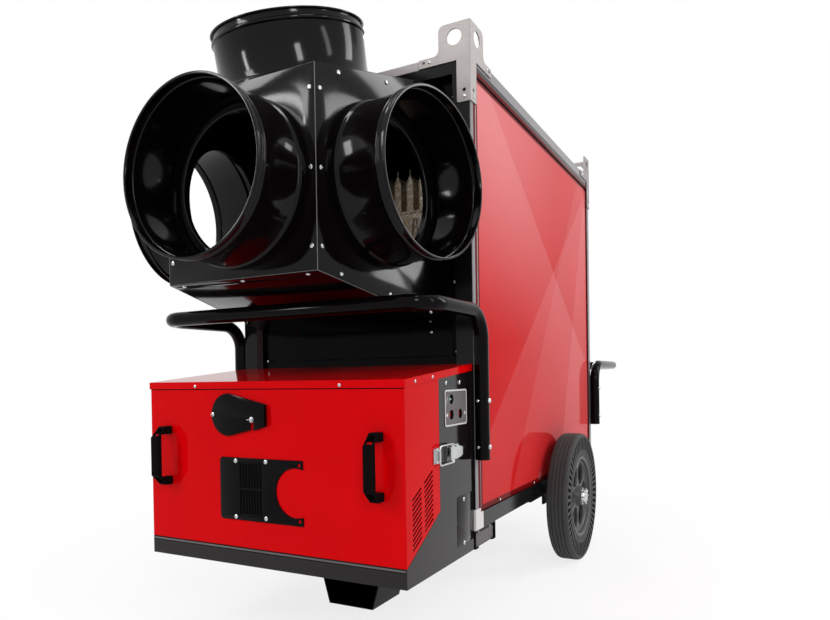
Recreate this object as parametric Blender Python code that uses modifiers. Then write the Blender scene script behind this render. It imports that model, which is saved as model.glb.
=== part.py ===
"""Mobile indirect-fired heat generator, in metres with +Z up.

The burner end faces -Y and the fan end faces +Y. Heights are measured from the ground, and
lengths along the machine from the front plane of the cabinet, through one empty that puts the
middle of the whole footprint at the origin.
"""

import math

import bmesh
import bpy
from mathutils import Matrix, Vector

# Shared clearances and details
FIT_GAP = 0.0003
CUT_OVERRUN = 0.010
SHEET = 0.002
CORNER_CHAMFER = 0.0015
MERGE_DISTANCE = 0.00005
ROUND_STEPS = 24
WHEEL_STEPS = 28
SMALL_STEPS = 12
CORNER_STEPS = 4
FACING_SHARE = 0.5

# Cabinet: aluminium frame, inset panels
CABINET_WIDTH = 0.697
CABINET_LENGTH = 1.197
CABINET_BOTTOM = 0.2255
CABINET_TOP = 1.354
POST_WIDTH = 0.045
POST_DEPTH = 0.030
RAIL_WIDTH = 0.040
TOP_RAIL_HEIGHT = 0.049
BASE_RAIL_HEIGHT = 0.040
PANEL_THICKNESS = 0.003
SIDE_RECESS = 0.004
END_RECESS = 0.024
SIDE_PANEL_FOLD = 0.012
SIDE_PANEL_BEVEL = 0.0012

# Lifting lugs: folded plates round the top corners
LUG_THICKNESS = 0.003
LUG_TOP = 1.4224
LUG_HEAD_WIDTH = 0.082
LUG_ARM_REACH = 0.1350
LUG_ARM_HEIGHT = 0.021
LUG_POST_WIDTH = 0.036
LUG_POST_DROP = 0.121
LUG_EYE_RADIUS = 0.019
LUG_EYE_REACH = 0.041
LUG_EYE_DROP = 0.0334
LUG_CORNER_RADIUS = 0.015
LUG_FILLET = 0.014

# Air plenum: hollow pyramid with four outlets
PLENUM_REACH = 0.407
PLENUM_FRONT_WIDTH = 0.394
PLENUM_FRONT_BOTTOM = 0.798
PLENUM_FRONT_TOP = 1.195
PLENUM_SIDE_SLOPE = 0.1687
PLENUM_TOP_SLOPE = 0.2282
PLENUM_BOTTOM_SLOPE = 0.1996
COLLAR_RADIUS = 0.1695
COLLAR_LENGTH = 0.137
COLLAR_BORE = 0.150
COLLAR_STEP_HEIGHT = 0.022
COLLAR_STEP = 0.005
COLLAR_LIP = 0.010
COLLAR_BEAD = 0.004
COLLAR_BEAD_INSET = 0.020
COLLAR_RIM = 0.004
FRONT_COLLAR_HEIGHT = 0.991
SIDE_COLLAR_HEIGHT = 1.003
SIDE_COLLAR_SETBACK = 0.210
TOP_COLLAR_SETBACK = 0.2125

# Tube handles
TUBE_RADIUS = 0.017
TUBE_BEND = 0.065
BEND_STEPS = 6
HANDLE_LEG_INSET = 0.004
HANDLE_LEG_BOTTOM = 0.395
FRONT_HANDLE_REACH = 0.280
FRONT_HANDLE_HEIGHT = 0.740
REAR_HANDLE_REACH = 0.403
REAR_HANDLE_HEIGHT = 0.627

# Burner enclosure
HOUSING_WIDTH = 0.6848
HOUSING_REACH = 0.3368
HOUSING_BOTTOM = 0.183
TRAY_TOP = 0.223
HOOD_SIDE_BACK = 0.184
HOOD_SIDE_BOTTOM = 0.307
LID_FRONT_TOP = 0.5872
LID_REAR_TOP = 0.6199
LID_LIP = 0.016
LID_REAR_GAP = 0.003
HOOD_TRAVEL_CLEARANCE = 0.0006

# Openings in the hood
VENT_ROWS = 11
VENT_COLUMNS = 2
VENT_LOW = (0.310, 0.252)
VENT_COLUMN_WIDTH = 0.044
VENT_COLUMN_PITCH = 0.053
VENT_ROW_PITCH = 0.0098
VENT_SLOT_HEIGHT = 0.0048
VENT_SLOPE = math.radians(27)
INTAKE_LEFT = -0.069
INTAKE_RIGHT = -0.007
INTAKE_LOW = 0.293
INTAKE_HIGH = 0.412
INTAKE_BAR = 0.005
INTAKE_SLOTS = 8
INTAKE_SLOT_SHARE = 0.5

# Intake plate on the hood
PLATE_THICKNESS = 0.002
PLATE_LEFT = -0.126
PLATE_RIGHT = 0.102
PLATE_LOW = 0.283
PLATE_HIGH = 0.420
PLATE_CORNER = 0.008
PLATE_NOTCH_RADIUS = 0.0525
PLATE_NOTCH_CENTRE = (0.0835, 0.3515)
PLATE_HOLE = 0.007
PLATE_HOLE_INSET = 0.010

# Sight flap
SIGHT_RADIUS = 0.030
FLAP_DISC_CENTRE = (-0.099, 0.514)
FLAP_DISC_RADIUS = 0.0466
FLAP_PIVOT_X = -0.141
FLAP_END_X = 0.010
FLAP_END_LOW = 0.490
FLAP_END_HIGH = 0.537
FLAP_THICKNESS = 0.002
FLAP_STANDOFF = 0.0030
FLAP_RIM = 0.008
FLAP_SCREW = (-0.030, 0.504)
FLAP_SCREW_SHANK = 0.003
FLAP_SCREW_HEAD = 0.0055
SCREW_HEAD = 0.0035
FLAP_NOTCH_WIDTH = 0.008
FLAP_LEAN = math.radians(72)

# Pull handles on the hood
GRIP_X = 0.285
GRIP_LOW = 0.350
GRIP_HIGH = 0.485
GRIP_REACH = 0.045
GRIP_WIDTH = 0.022
GRIP_FOOT_HEIGHT = 0.018
GRIP_CHAMFER = 0.024
GRIP_BAR = 0.013
GRIP_EDGE = 0.002

# Control plate and switches
CONTROL_BACK = 0.037
CONTROL_FRONT = 0.156
CONTROL_LOW = 0.482
CONTROL_HIGH = 0.562
CONTROL_CORNER = 0.006
CONTROL_PLATE = 0.001
CONTROL_HOLE = 0.011
CONTROL_UPPER = 0.541
CONTROL_LOWER = 0.507
CONTROL_NEAR = 0.121
CONTROL_FAR = 0.073
SWITCH_BOX_DEPTH = 0.045
SWITCH_BOX_MARGIN = 0.003
BUTTON_RADIUS = 0.0105
BUTTON_LENGTH = 0.016
BUTTON_RECESS = 0.006
BUTTON_TRAVEL = 0.003
KNOB_WING = 0.004
KNOB_WING_HEIGHT = 0.004

# Toggle latches
LATCH_HEIGHT = 0.425
LATCH_BASE_FRONT = 0.150
LATCH_BASE_BACK = 0.088
LATCH_BASE_HALF = 0.0165
LATCH_BASE_PLATE = 0.002
LATCH_EAR = 0.003
LATCH_PIVOT_SETBACK = 0.142
LATCH_PIVOT_STANDOFF = 0.0083
LATCH_EAR_HALF = 0.0055
LATCH_BOSS_RADIUS = 0.0035
LATCH_LEVER_PLATE = 0.0025
LATCH_LEVER_LENGTH = 0.060
LATCH_LEVER_HALF = 0.0125
LATCH_LEVER_TIP_HALF = 0.008
LATCH_CRANK = 0.014
LATCH_WIRE = 0.002
LATCH_LOOP_REACH = 0.056
LATCH_LOOP_HALF = 0.0205
LATCH_LOOP_BEND = 0.006
KEEPER_FRONT = 0.216
KEEPER_BACK = 0.187
KEEPER_HALF = 0.016
KEEPER_HOOK_HALF = 0.010
KEEPER_HOOK_DEPTH = 0.006

# Front support
SUPPORT_FRONT = 0.003
SUPPORT_BACK = 0.135
SUPPORT_WIDTH = 0.690
SUPPORT_END_INSET = 0.006
SUPPORT_SHEET = 0.003
SUPPORT_LIP = 0.020
FOOT_SOLE_HALF = 0.066
FOOT_TOP_HALF = 0.118
FOOT_FLANGE = 0.022
FOOT_FRONT = -0.009
FOOT_BACK = 0.131

# Wheels and axle
WHEEL_RADIUS = 0.200
WHEEL_SETBACK = 0.6955
WHEEL_OUTER_X = 0.434
TREAD_WIDTH = 0.066
TREAD_CROWN = 0.004
TREAD_SHOULDER = 0.010
SIDEWALL_INSET = 0.005
RIM_RADIUS = 0.1277
RIM_BARREL = 0.012
RIM_WIDTH = 0.058
HUB_RADIUS = 0.030
HUB_WIDTH = 0.062
WEB_THICKNESS = 0.008
WEB_DISH = 0.010
SPOKES = 6
SPOKE_WIDTH = 0.026
SPOKE_INNER = 0.040
SPOKE_OUTER = 0.108
AXLE_RADIUS = 0.0125
AXLE_CAP_RADIUS = 0.026
AXLE_CAP_LENGTH = 0.014
CAP_CROWN_SHARE = 0.72
AXLE_PLATE = 0.004
AXLE_PLATE_LENGTH = 0.560
AXLE_EAR = 0.006
AXLE_EAR_INSET = 0.036
AXLE_EAR_LENGTH = 0.100
AXLE_EAR_DROP = 0.052

# Heat exchanger
FIRE_HEIGHT = 0.455
CHAMBER_RADIUS = 0.190
CHAMBER_FRONT = 0.120
CHAMBER_LENGTH = 0.730
CHAMBER_WALL = 0.004
CHAMBER_MOUTH = 0.070
CHAMBER_EDGE = 0.020
SADDLE_SETBACKS = (0.200, 0.680)
SADDLE_LENGTH = 0.050
SADDLE_WIDTH = 0.220
SADDLE_HEIGHT = 0.080
SADDLE_SHEET = 0.004
HEADER_FRONT = 0.135
HEADER_BACK = 0.480
HEADER_WIDTH = 0.360
HEADER_SINK = 0.060
HEADER_TOP = 1.010
FIN_ROWS = (0.180, 0.305, 0.430)
FIN_COUNT = 9
FIN_PITCH = 0.037
FIN_WIDTH = 0.020
FIN_DEPTH = 0.070
FIN_TOP = 1.132
FIN_CRIMP = 0.018
FIN_RIDGE_SHARE = 0.12
FLUE_RADIUS = 0.075
FLUE_WALL = 0.002
FLUE_SETBACK = 0.760
FLUE_SINK = 0.060
FLUE_RISE = 0.120
FLUE_FLANGE = 0.022

# Burner
BURNER_REACH = 0.185
BURNER_RADIUS = 0.115
BURNER_WIDTH = 0.110
BURNER_WALL = 0.005
BLAST_RADIUS = 0.062
BLAST_WALL = 0.004
BLAST_END = 0.200
BLAST_ROOT_SHARE = 0.62
BLAST_FLANGE = 0.034
BLAST_FLANGE_PLATE = 0.006
IMPELLER_RADIUS = 0.092
IMPELLER_GAP = 0.006
IMPELLER_BACKPLATE = 0.003
IMPELLER_RIM = 0.010
IMPELLER_BLADES = 10
IMPELLER_BLADE = 0.003
IMPELLER_HUB = 0.018
BURNER_SHAFT = 0.007
MOTOR_RADIUS = 0.058
MOTOR_LENGTH = 0.150
MOTOR_CHAMFER = 0.008

# Main fan
FAN_HEIGHT = 0.790
FAN_BORE = 0.262
SHROUD_WALL = 0.003
SHROUD_LENGTH = 0.120
FAN_TIP_GAP = 0.007
FAN_HUB_RADIUS = 0.060
FAN_HUB_LENGTH = 0.050
FAN_SETBACK = 0.030
FAN_BLADES = 6
FAN_BLADE_CHORD = 0.085
FAN_BLADE_THICKNESS = 0.003
FAN_PITCH = math.radians(28)
BLADE_ROOT_SHARE = 0.75
BLADE_TAPER_SHARE = 0.45
FAN_SHAFT = 0.010
ARM_WIDTH = 0.070
ARM_PLATE = 0.006
FAN_MOTOR_RADIUS = 0.065
FAN_MOTOR_LENGTH = 0.170
GUARD_RINGS = (0.268, 0.180, 0.092)
GUARD_WIRE = 0.0025
GUARD_MARGIN = 0.010
GUARD_ARMS = 8
GUARD_STEPS = 22
GUARD_SIDES = 4
GUARD_LAP_SHARE = 1.3
GUARD_TURN_SHARE = 0.3
GLAND_X = -0.230
GLAND_HEIGHT = 0.340
GLAND_RADIUS = 0.014
GLAND_LENGTH = 0.030
GLAND_BORE = 0.006
GLAND_NUT = 0.018
GLAND_NUT_LENGTH = 0.008


# Values that follow from the sizes above
HALF_WIDTH = CABINET_WIDTH / 2
HOUSING_SIDE = HOUSING_WIDTH / 2
POST_INNER = HALF_WIDTH - POST_WIDTH
PANEL_LOW = CABINET_BOTTOM + BASE_RAIL_HEIGHT
PANEL_HIGH = CABINET_TOP - TOP_RAIL_HEIGHT
FRONT_REACH = PLENUM_REACH + COLLAR_LENGTH
REAR_REACH = REAR_HANDLE_REACH + TUBE_RADIUS
FRONT_PLANE = (FRONT_REACH - REAR_REACH - CABINET_LENGTH) / 2
FRONT_PANEL = END_RECESS
REAR_PANEL = CABINET_LENGTH - END_RECESS
LID_SLOPE = (LID_REAR_TOP - LID_FRONT_TOP) / (HOUSING_REACH - LID_REAR_GAP)
WHEEL_X = WHEEL_OUTER_X - TREAD_WIDTH / 2
PIVOT_X = HOUSING_SIDE + LATCH_PIVOT_STANDOFF
TUBE_X = HALF_WIDTH + FIT_GAP + TUBE_RADIUS

# Ways that a flat outline or a turned piece is laid in the machine
FACING_FRONT = (math.pi / 2, 0, 0)
FACING_BACK = (-math.pi / 2, 0, 0)
FACING_SIDE = (math.pi / 2, 0, math.pi / 2)
AXIS_SIDEWAYS = (0, math.pi / 2, 0)


def clear_scene():
    """Empty the scene, so that the script always starts from nothing."""
    for old in list(bpy.data.objects):
        bpy.data.objects.remove(old)


def new_collection(name):
    """Return a new collection, linked to the scene."""
    collection = bpy.data.collections.new(name)
    bpy.context.scene.collection.children.link(collection)
    return collection


clear_scene()
PARTS = new_collection("heat_generator")
CUTTERS = new_collection("cutters")
MACHINE = bpy.data.objects.new("cabinet_front", None)
PARTS.objects.link(MACHINE)
MACHINE.location = (0, FRONT_PLANE, 0)


def finish(name, colour, roughness, metallic):
    """Return a Principled material."""
    made = bpy.data.materials.new(name)
    made.use_nodes = True
    shader = made.node_tree.nodes["Principled BSDF"]
    shader.inputs["Base Color"].default_value = (*colour, 1)
    shader.inputs["Roughness"].default_value = roughness
    shader.inputs["Metallic"].default_value = metallic
    made.diffuse_color = (*colour, 1)
    return made


COLOURS = {
    "red": ((0.62, 0.004, 0.008), 0.16, 0),
    "black": ((0.008, 0.007, 0.008), 0.18, 0),
    "charcoal": ((0.035, 0.032, 0.034), 0.32, 0),
    "grey": ((0.16, 0.17, 0.18), 0.35, 0.5),
    "silver": ((0.62, 0.63, 0.64), 0.38, 1),
    "stainless": ((0.56, 0.52, 0.49), 0.34, 1),
    "zinc": ((0.66, 0.68, 0.70), 0.25, 1),
    "tyre": ((0.045, 0.045, 0.046), 0.75, 0),
    "plastic": ((0.012, 0.011, 0.012), 0.45, 0),
    "hot_steel": ((0.36, 0.31, 0.25), 0.42, 1),
    "green": ((0.16, 0.24, 0.22), 0.35, 0),
    "cast": ((0.30, 0.31, 0.32), 0.5, 1),
}


def own_finish(name, key):
    """Return a material of the piece's own, in one of the machine's finishes."""
    return finish(name + "_finish", *COLOURS[key])


def place(obj, location, rotation):
    """Put an object in the machine."""
    obj.parent = MACHINE
    obj.location = location
    obj.rotation_euler = rotation
    return obj


def add_part(name, mesh, key, location=(0, 0, 0), rotation=(0, 0, 0)):
    """Make a named sub-part from a mesh."""
    obj = bpy.data.objects.new(name, mesh)
    PARTS.objects.link(obj)
    mesh.materials.clear()
    mesh.materials.append(own_finish(name, key))
    return place(obj, location, rotation)


def add_cutter(name, mesh, location=(0, 0, 0), rotation=(0, 0, 0)):
    """Make a shape that only cuts or joins others."""
    obj = bpy.data.objects.new(name, mesh)
    CUTTERS.objects.link(obj)
    obj.hide_render = True
    obj.display_type = "WIRE"
    return place(obj, location, rotation)


def finished(shape, name):
    """Turn a bmesh into a mesh."""
    mesh = bpy.data.meshes.new(name)
    shape.to_mesh(mesh)
    shape.free()
    return mesh


def facing_out(mesh):
    """Turn the faces of a closed mesh outward, as after a mirroring."""
    shape = bmesh.new()
    shape.from_mesh(mesh)
    bmesh.ops.recalc_face_normals(shape, faces=shape.faces)
    return finished(shape, mesh.name)


def add_block(shape, low, high):
    """Add a box between two corners to a bmesh, and return its corners."""
    low, high = Vector(low), Vector(high)
    size = high - low
    fit = Matrix.Translation((low + high) / 2) @ Matrix.Diagonal((*size, 1))
    return bmesh.ops.create_cube(shape, size=1, matrix=fit)["verts"]


def block_mesh(name, boxes):
    """Return one mesh of boxes."""
    shape = bmesh.new()
    for low, high in boxes:
        add_block(shape, low, high)
    return finished(shape, name)


def block(name, low, high, key):
    """Make a sub-part that starts as a box between two corners."""
    return add_part(name, block_mesh(name, [(low, high)]), key)


def on_side(hand, low, high):
    """Return a box's two corners on the right (1) or mirrored to the left (-1)."""
    if hand > 0:
        return low, high
    return (-high[0], low[1], low[2]), (-low[0], high[1], high[2])


def bevel(obj, width):
    """Round or chamfer an object's edges."""
    modifier = obj.modifiers.new("bevel", "BEVEL")
    modifier.width = width
    modifier.segments = 1
    modifier.limit_method = "ANGLE"


def boolean(obj, other, operation):
    """Cut an object by another, or join them."""
    modifier = obj.modifiers.new(operation.lower(), "BOOLEAN")
    modifier.operation = operation
    modifier.solver = "EXACT"
    modifier.object = other


def subtract(obj, cutter):
    """Cut an object."""
    boolean(obj, cutter, "DIFFERENCE")


def unite(obj, other):
    """Join a shape onto an object."""
    boolean(obj, other, "UNION")


def rod_mesh(name, radius, length, steps=ROUND_STEPS):
    """Return a cylinder about Z, centred."""
    shape = bmesh.new()
    bmesh.ops.create_cone(
        shape, cap_ends=True, segments=steps, radius1=radius, radius2=radius, depth=length
    )
    return finished(shape, name)


def profile_mesh(name, profile, closed):
    """Return a profile of (radius, height) points as a chain of edges at +X."""
    shape = bmesh.new()
    points = [shape.verts.new((radius, 0, height)) for radius, height in profile]
    for first, second in zip(points, points[1:]):
        shape.edges.new((first, second))
    if closed:
        shape.edges.new((points[-1], points[0]))
    return finished(shape, name)


def turn(obj, steps):
    """Spin an object's profile about its own Z."""
    modifier = obj.modifiers.new("turned", "SCREW")
    modifier.steps = steps
    modifier.render_steps = steps
    modifier.use_merge_vertices = True
    modifier.merge_threshold = MERGE_DISTANCE
    modifier.use_smooth_shade = True


def turned(name, profile, key, location, rotation, closed=True, steps=ROUND_STEPS):
    """Make a turned sub-part from a profile that runs down its outer side."""
    obj = add_part(name, profile_mesh(name, profile, closed), key, location, rotation)
    turn(obj, steps)
    return obj


def arc(centre, radius, start, end, steps):
    """Return points on an arc, angles in radians."""
    points = []
    for step in range(steps + 1):
        angle = start + (end - start) * step / steps
        points.append((centre[0] + radius * math.cos(angle), centre[1] + radius * math.sin(angle)))
    return points


def rounded_box(left, low, right, high, radius):
    """Return the outline of a rectangle with round corners."""
    quarter = math.pi / 2
    corners = (
        ((right - radius, low + radius), -quarter),
        ((right - radius, high - radius), 0),
        ((left + radius, high - radius), quarter),
        ((left + radius, low + radius), quarter * 2),
    )
    outline = []
    for centre, start in corners:
        outline += arc(centre, radius, start, start + quarter, CORNER_STEPS)
    return outline


def circle(centre, radius, steps=SMALL_STEPS):
    """Return a circle's points."""
    return arc(centre, radius, 0, math.tau, steps)[:-1]


def outline_mesh(name, outlines, thickness):
    """Return a flat outline with its holes as a closed plate, through a filled 2D curve."""
    curve = bpy.data.curves.new(name, "CURVE")
    curve.dimensions = "2D"
    curve.fill_mode = "BOTH"
    curve.extrude = thickness / 2
    for outline in outlines:
        spline = curve.splines.new("POLY")
        spline.points.add(len(outline) - 1)
        for point, (across, up) in zip(spline.points, outline):
            point.co = (across, up, 0, 1)
        spline.use_cyclic_u = True
    guide = bpy.data.objects.new(name + "_outline", curve)
    CUTTERS.objects.link(guide)
    settled = guide.evaluated_get(bpy.context.evaluated_depsgraph_get())
    shape = bmesh.new()
    shape.from_mesh(bpy.data.meshes.new_from_object(settled))
    bmesh.ops.remove_doubles(shape, verts=shape.verts, dist=MERGE_DISTANCE)
    bmesh.ops.recalc_face_normals(shape, faces=shape.faces)
    bpy.data.objects.remove(guide)
    return finished(shape, name)


def plate(name, outlines, thickness, key, location, rotation):
    """Make a flat sub-part from an outline and its holes."""
    return add_part(name, outline_mesh(name, outlines, thickness), key, location, rotation)


def bent_path(corners, radius, steps=BEND_STEPS):
    """Return a path through straight corners, each rounded to the radius."""
    path = [Vector(corners[0])]
    for before, corner, after in zip(corners, corners[1:], corners[2:]):
        corner = Vector(corner)
        come = (Vector(before) - corner).normalized()
        leave = (Vector(after) - corner).normalized()
        half = come.angle(leave) / 2
        run = radius / math.tan(half)
        middle = (come + leave).normalized()
        centre = corner + middle * (radius / math.sin(half))
        first = (corner + come * run - centre).normalized()
        last = (corner + leave * run - centre).normalized()
        for step in range(steps + 1):
            share = step / steps
            path.append(centre + first.slerp(last, share) * radius)
    path.append(Vector(corners[-1]))
    return path


def tube(name, path, radius, key, location=(0, 0, 0), sides=2):
    """Make a round rod or tube along a path."""
    curve = bpy.data.curves.new(name, "CURVE")
    curve.dimensions = "3D"
    curve.bevel_depth = radius
    curve.bevel_resolution = sides
    curve.use_fill_caps = True
    spline = curve.splines.new("POLY")
    spline.points.add(len(path) - 1)
    for point, spot in zip(spline.points, path):
        point.co = (*spot, 1)
    spline.use_smooth = True
    obj = bpy.data.objects.new(name, curve)
    PARTS.objects.link(obj)
    curve.materials.append(own_finish(name, key))
    return place(obj, location, (0, 0, 0))


def lid_top(reach):
    """Return the height of the lid's top at a distance in front of the cabinet."""
    return LID_FRONT_TOP + LID_SLOPE * (HOUSING_REACH - reach)


def make_frame():
    """The cabinet's frame: four posts joined by rails, left when the six sides are cut away."""
    frame = block("cabinet_frame", (-HALF_WIDTH, 0, CABINET_BOTTOM),
                  (HALF_WIDTH, CABINET_LENGTH, CABINET_TOP), "grey")
    bevel(frame, CORNER_CHAMFER)
    rear = CABINET_LENGTH - POST_DEPTH
    rail_inner = HALF_WIDTH - RAIL_WIDTH
    ways = (
        ("side_way", (-HALF_WIDTH - CUT_OVERRUN, POST_DEPTH, PANEL_LOW),
         (HALF_WIDTH + CUT_OVERRUN, rear, PANEL_HIGH)),
        ("end_way", (-POST_INNER, -CUT_OVERRUN, PANEL_LOW),
         (POST_INNER, CABINET_LENGTH + CUT_OVERRUN, PANEL_HIGH)),
        ("roof_way", (-rail_inner, POST_DEPTH, CABINET_BOTTOM - CUT_OVERRUN),
         (rail_inner, rear, CABINET_TOP + CUT_OVERRUN)),
    )
    for name, low, high in ways:
        subtract(frame, add_cutter(name, block_mesh(name, [(low, high)])))


def make_panels():
    """The cabinet's six panels, each inset in the frame."""
    inner = POST_INNER - FIT_GAP
    ends = (POST_DEPTH + FIT_GAP, CABINET_LENGTH - POST_DEPTH - FIT_GAP)
    low, high = PANEL_LOW + FIT_GAP, PANEL_HIGH - FIT_GAP
    face = HALF_WIDTH - SIDE_RECESS
    rim = PANEL_THICKNESS
    for name, hand in (("side_panel_right", 1), ("side_panel_left", -1)):
        panel = block(name, *on_side(hand, (face - SIDE_PANEL_FOLD, ends[0], low),
                                     (face, ends[1], high)), "red")
        pocket = block_mesh(name + "_pocket", [on_side(
            hand, (face - SIDE_PANEL_FOLD - CUT_OVERRUN, ends[0] + rim, low + rim),
            (face - rim, ends[1] - rim, high - rim))])
        subtract(panel, add_cutter(name + "_pocket", pocket))
        bevel(panel, SIDE_PANEL_BEVEL)
    rail_inner = HALF_WIDTH - RAIL_WIDTH - FIT_GAP
    roof = block("top_panel", (-rail_inner, ends[0], CABINET_TOP - SIDE_RECESS - PANEL_THICKNESS),
                 (rail_inner, ends[1], CABINET_TOP - SIDE_RECESS), "black")
    flue_hole = rod_mesh("flue_hole", FLUE_RADIUS + FIT_GAP, CUT_OVERRUN * 2)
    subtract(roof, add_cutter("flue_hole", flue_hole, (0, FLUE_SETBACK, CABINET_TOP - SIDE_RECESS)))
    block("floor_panel", (-rail_inner, ends[0], CABINET_BOTTOM + SIDE_RECESS),
          (rail_inner, ends[1], CABINET_BOTTOM + SIDE_RECESS + PANEL_THICKNESS), "black")
    front = block("front_panel", (-inner, FRONT_PANEL, low),
                  (inner, FRONT_PANEL + PANEL_THICKNESS, high), "black")
    neck = PLENUM_REACH + FRONT_PANEL
    width = PLENUM_FRONT_WIDTH / 2 + PLENUM_SIDE_SLOPE * neck - SHEET
    under = PLENUM_FRONT_BOTTOM - PLENUM_BOTTOM_SLOPE * neck + SHEET
    over = PLENUM_FRONT_TOP + PLENUM_TOP_SLOPE * neck - SHEET
    air_way = block_mesh("air_way", [
        ((-width, FRONT_PANEL - CUT_OVERRUN, under),
         (width, FRONT_PANEL + CUT_OVERRUN, over))
    ])
    subtract(front, add_cutter("air_way", air_way))
    fire_way = rod_mesh("fire_way", BLAST_RADIUS + FIT_GAP, CUT_OVERRUN * 2)
    fire_way = add_cutter("fire_way", fire_way, (0, FRONT_PANEL, FIRE_HEIGHT), FACING_FRONT)
    subtract(front, fire_way)
    back = block("rear_panel", (-inner, REAR_PANEL - PANEL_THICKNESS, low),
                 (inner, REAR_PANEL, high), "black")
    inlet = rod_mesh("fan_inlet", FAN_BORE, CUT_OVERRUN * 2)
    subtract(back, add_cutter("fan_inlet", inlet, (0, REAR_PANEL, FAN_HEIGHT), FACING_FRONT))
    entry = rod_mesh("cable_entry", GLAND_RADIUS + FIT_GAP, CUT_OVERRUN * 2, SMALL_STEPS)
    entry = add_cutter("cable_entry", entry, (GLAND_X, REAR_PANEL, GLAND_HEIGHT), FACING_FRONT)
    subtract(back, entry)


def lug_outline():
    """Return one leg of a lug, as distance from the corner and height, and its holes."""
    arm_top = CABINET_TOP
    arm_low = CABINET_TOP - LUG_ARM_HEIGHT
    post_low = CABINET_TOP - LUG_POST_DROP
    quarter = math.pi / 2
    head = LUG_HEAD_WIDTH
    fillet = (head + LUG_FILLET, arm_top + LUG_FILLET)
    crown = (head - LUG_CORNER_RADIUS, LUG_TOP - LUG_CORNER_RADIUS)
    outline = [(0, post_low), (LUG_POST_WIDTH, post_low), (LUG_POST_WIDTH, arm_low)]
    outline += [(LUG_ARM_REACH, arm_low), (LUG_ARM_REACH, arm_top)]
    outline += arc(fillet, LUG_FILLET, -quarter, -quarter * 2, CORNER_STEPS)
    outline += arc(crown, LUG_CORNER_RADIUS, 0, quarter, CORNER_STEPS)
    outline.append((0, LUG_TOP))
    eye = circle((LUG_EYE_REACH, LUG_TOP - LUG_EYE_DROP), LUG_EYE_RADIUS, SMALL_STEPS)
    return [outline, eye]


def lug_leg(direction_x, direction_y, along_x):
    """Return one leg of the lug at a corner as a mesh in the machine's place."""
    edge_x = HALF_WIDTH + FIT_GAP + LUG_THICKNESS
    edge_y = FIT_GAP + LUG_THICKNESS
    corner_y = -edge_y if direction_y < 0 else CABINET_LENGTH + edge_y
    mesh = outline_mesh("lug_leg", lug_outline(), LUG_THICKNESS)
    half = LUG_THICKNESS / 2
    if along_x:
        turn_to = Matrix(((-direction_x, 0, 0, direction_x * edge_x),
                          (0, 0, 1, corner_y - direction_y * half),
                          (0, 1, 0, 0), (0, 0, 0, 1)))
    else:
        turn_to = Matrix(((0, 0, 1, direction_x * (edge_x - half)),
                          (-direction_y, 0, 0, corner_y),
                          (0, 1, 0, 0), (0, 0, 0, 1)))
    mesh.transform(turn_to)
    return facing_out(mesh)


def make_lugs():
    """Four stainless lifting lugs, each folded round a top corner of the frame."""
    for side, direction_x in (("right", 1), ("left", -1)):
        for end, direction_y in (("front", -1), ("rear", 1)):
            name = "lifting_lug_" + end + "_" + side
            front_leg = lug_leg(direction_x, direction_y, True)
            side_leg = lug_leg(direction_x, direction_y, False)
            lug = add_part(name, front_leg, "stainless")
            unite(lug, add_cutter(name + "_leg", side_leg))


def plenum_half_width(reach):
    """Return the plenum's half width at a distance in front of the cabinet."""
    return PLENUM_FRONT_WIDTH / 2 + PLENUM_SIDE_SLOPE * (PLENUM_REACH - reach)


def plenum_top(reach):
    """Return the plenum's upper height at a distance in front of the cabinet."""
    return PLENUM_FRONT_TOP + PLENUM_TOP_SLOPE * (PLENUM_REACH - reach)


def plenum_bottom(reach):
    """Return the plenum's lower height at a distance in front of the cabinet."""
    return PLENUM_FRONT_BOTTOM - PLENUM_BOTTOM_SLOPE * (PLENUM_REACH - reach)


def collar_seats():
    """Return each collar's name, the middle of its seat and the way it faces."""
    side = Vector((1, -PLENUM_SIDE_SLOPE, 0)).normalized()
    top = Vector((0, -PLENUM_TOP_SLOPE, 1)).normalized()
    side_reach = PLENUM_REACH - SIDE_COLLAR_SETBACK * side.x
    top_reach = PLENUM_REACH - TOP_COLLAR_SETBACK * top.z
    half = plenum_half_width(side_reach)
    return [
        ("outlet_collar_front", Vector((0, -PLENUM_REACH, FRONT_COLLAR_HEIGHT)), Vector((0, -1, 0))),
        ("outlet_collar_right", Vector((half, -side_reach, SIDE_COLLAR_HEIGHT)), side),
        ("outlet_collar_left", Vector((-half, -side_reach, SIDE_COLLAR_HEIGHT)),
         Vector((-side.x, side.y, 0))),
        ("outlet_collar_top", Vector((0, -top_reach, plenum_top(top_reach))), top),
    ]


def facing(direction):
    """Return the rotation that points local Z along a direction."""
    return direction.to_track_quat("Z", "Y").to_euler()


def make_plenum():
    """The hollow air box, open to the cabinet, with a round way out on four faces."""
    rear = -FRONT_PANEL + FIT_GAP + SHEET * PLENUM_TOP_SLOPE
    shape = bmesh.new()
    verts = bmesh.ops.create_cube(shape, size=2)["verts"]
    for vert in verts:
        reach = PLENUM_REACH if vert.co.y < 0 else rear
        across = plenum_half_width(reach) * vert.co.x
        height = plenum_top(reach) if vert.co.z > 0 else plenum_bottom(reach)
        vert.co = (across, -reach, height)
    back = [face for face in shape.faces if all(v.co.y > 0 for v in face.verts)]
    bmesh.ops.delete(shape, geom=back, context="FACES_ONLY")
    box = add_part("plenum_box", finished(shape, "plenum_box"), "black")
    shell = box.modifiers.new("sheet", "SOLIDIFY")
    shell.thickness = SHEET
    shell.offset = -1
    shell.use_even_offset = True
    for name, seat, direction in collar_seats():
        hole = rod_mesh(name + "_hole", COLLAR_BORE, CUT_OVERRUN * 2)
        subtract(box, add_cutter(name + "_hole", hole, seat, facing(direction)))


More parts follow.
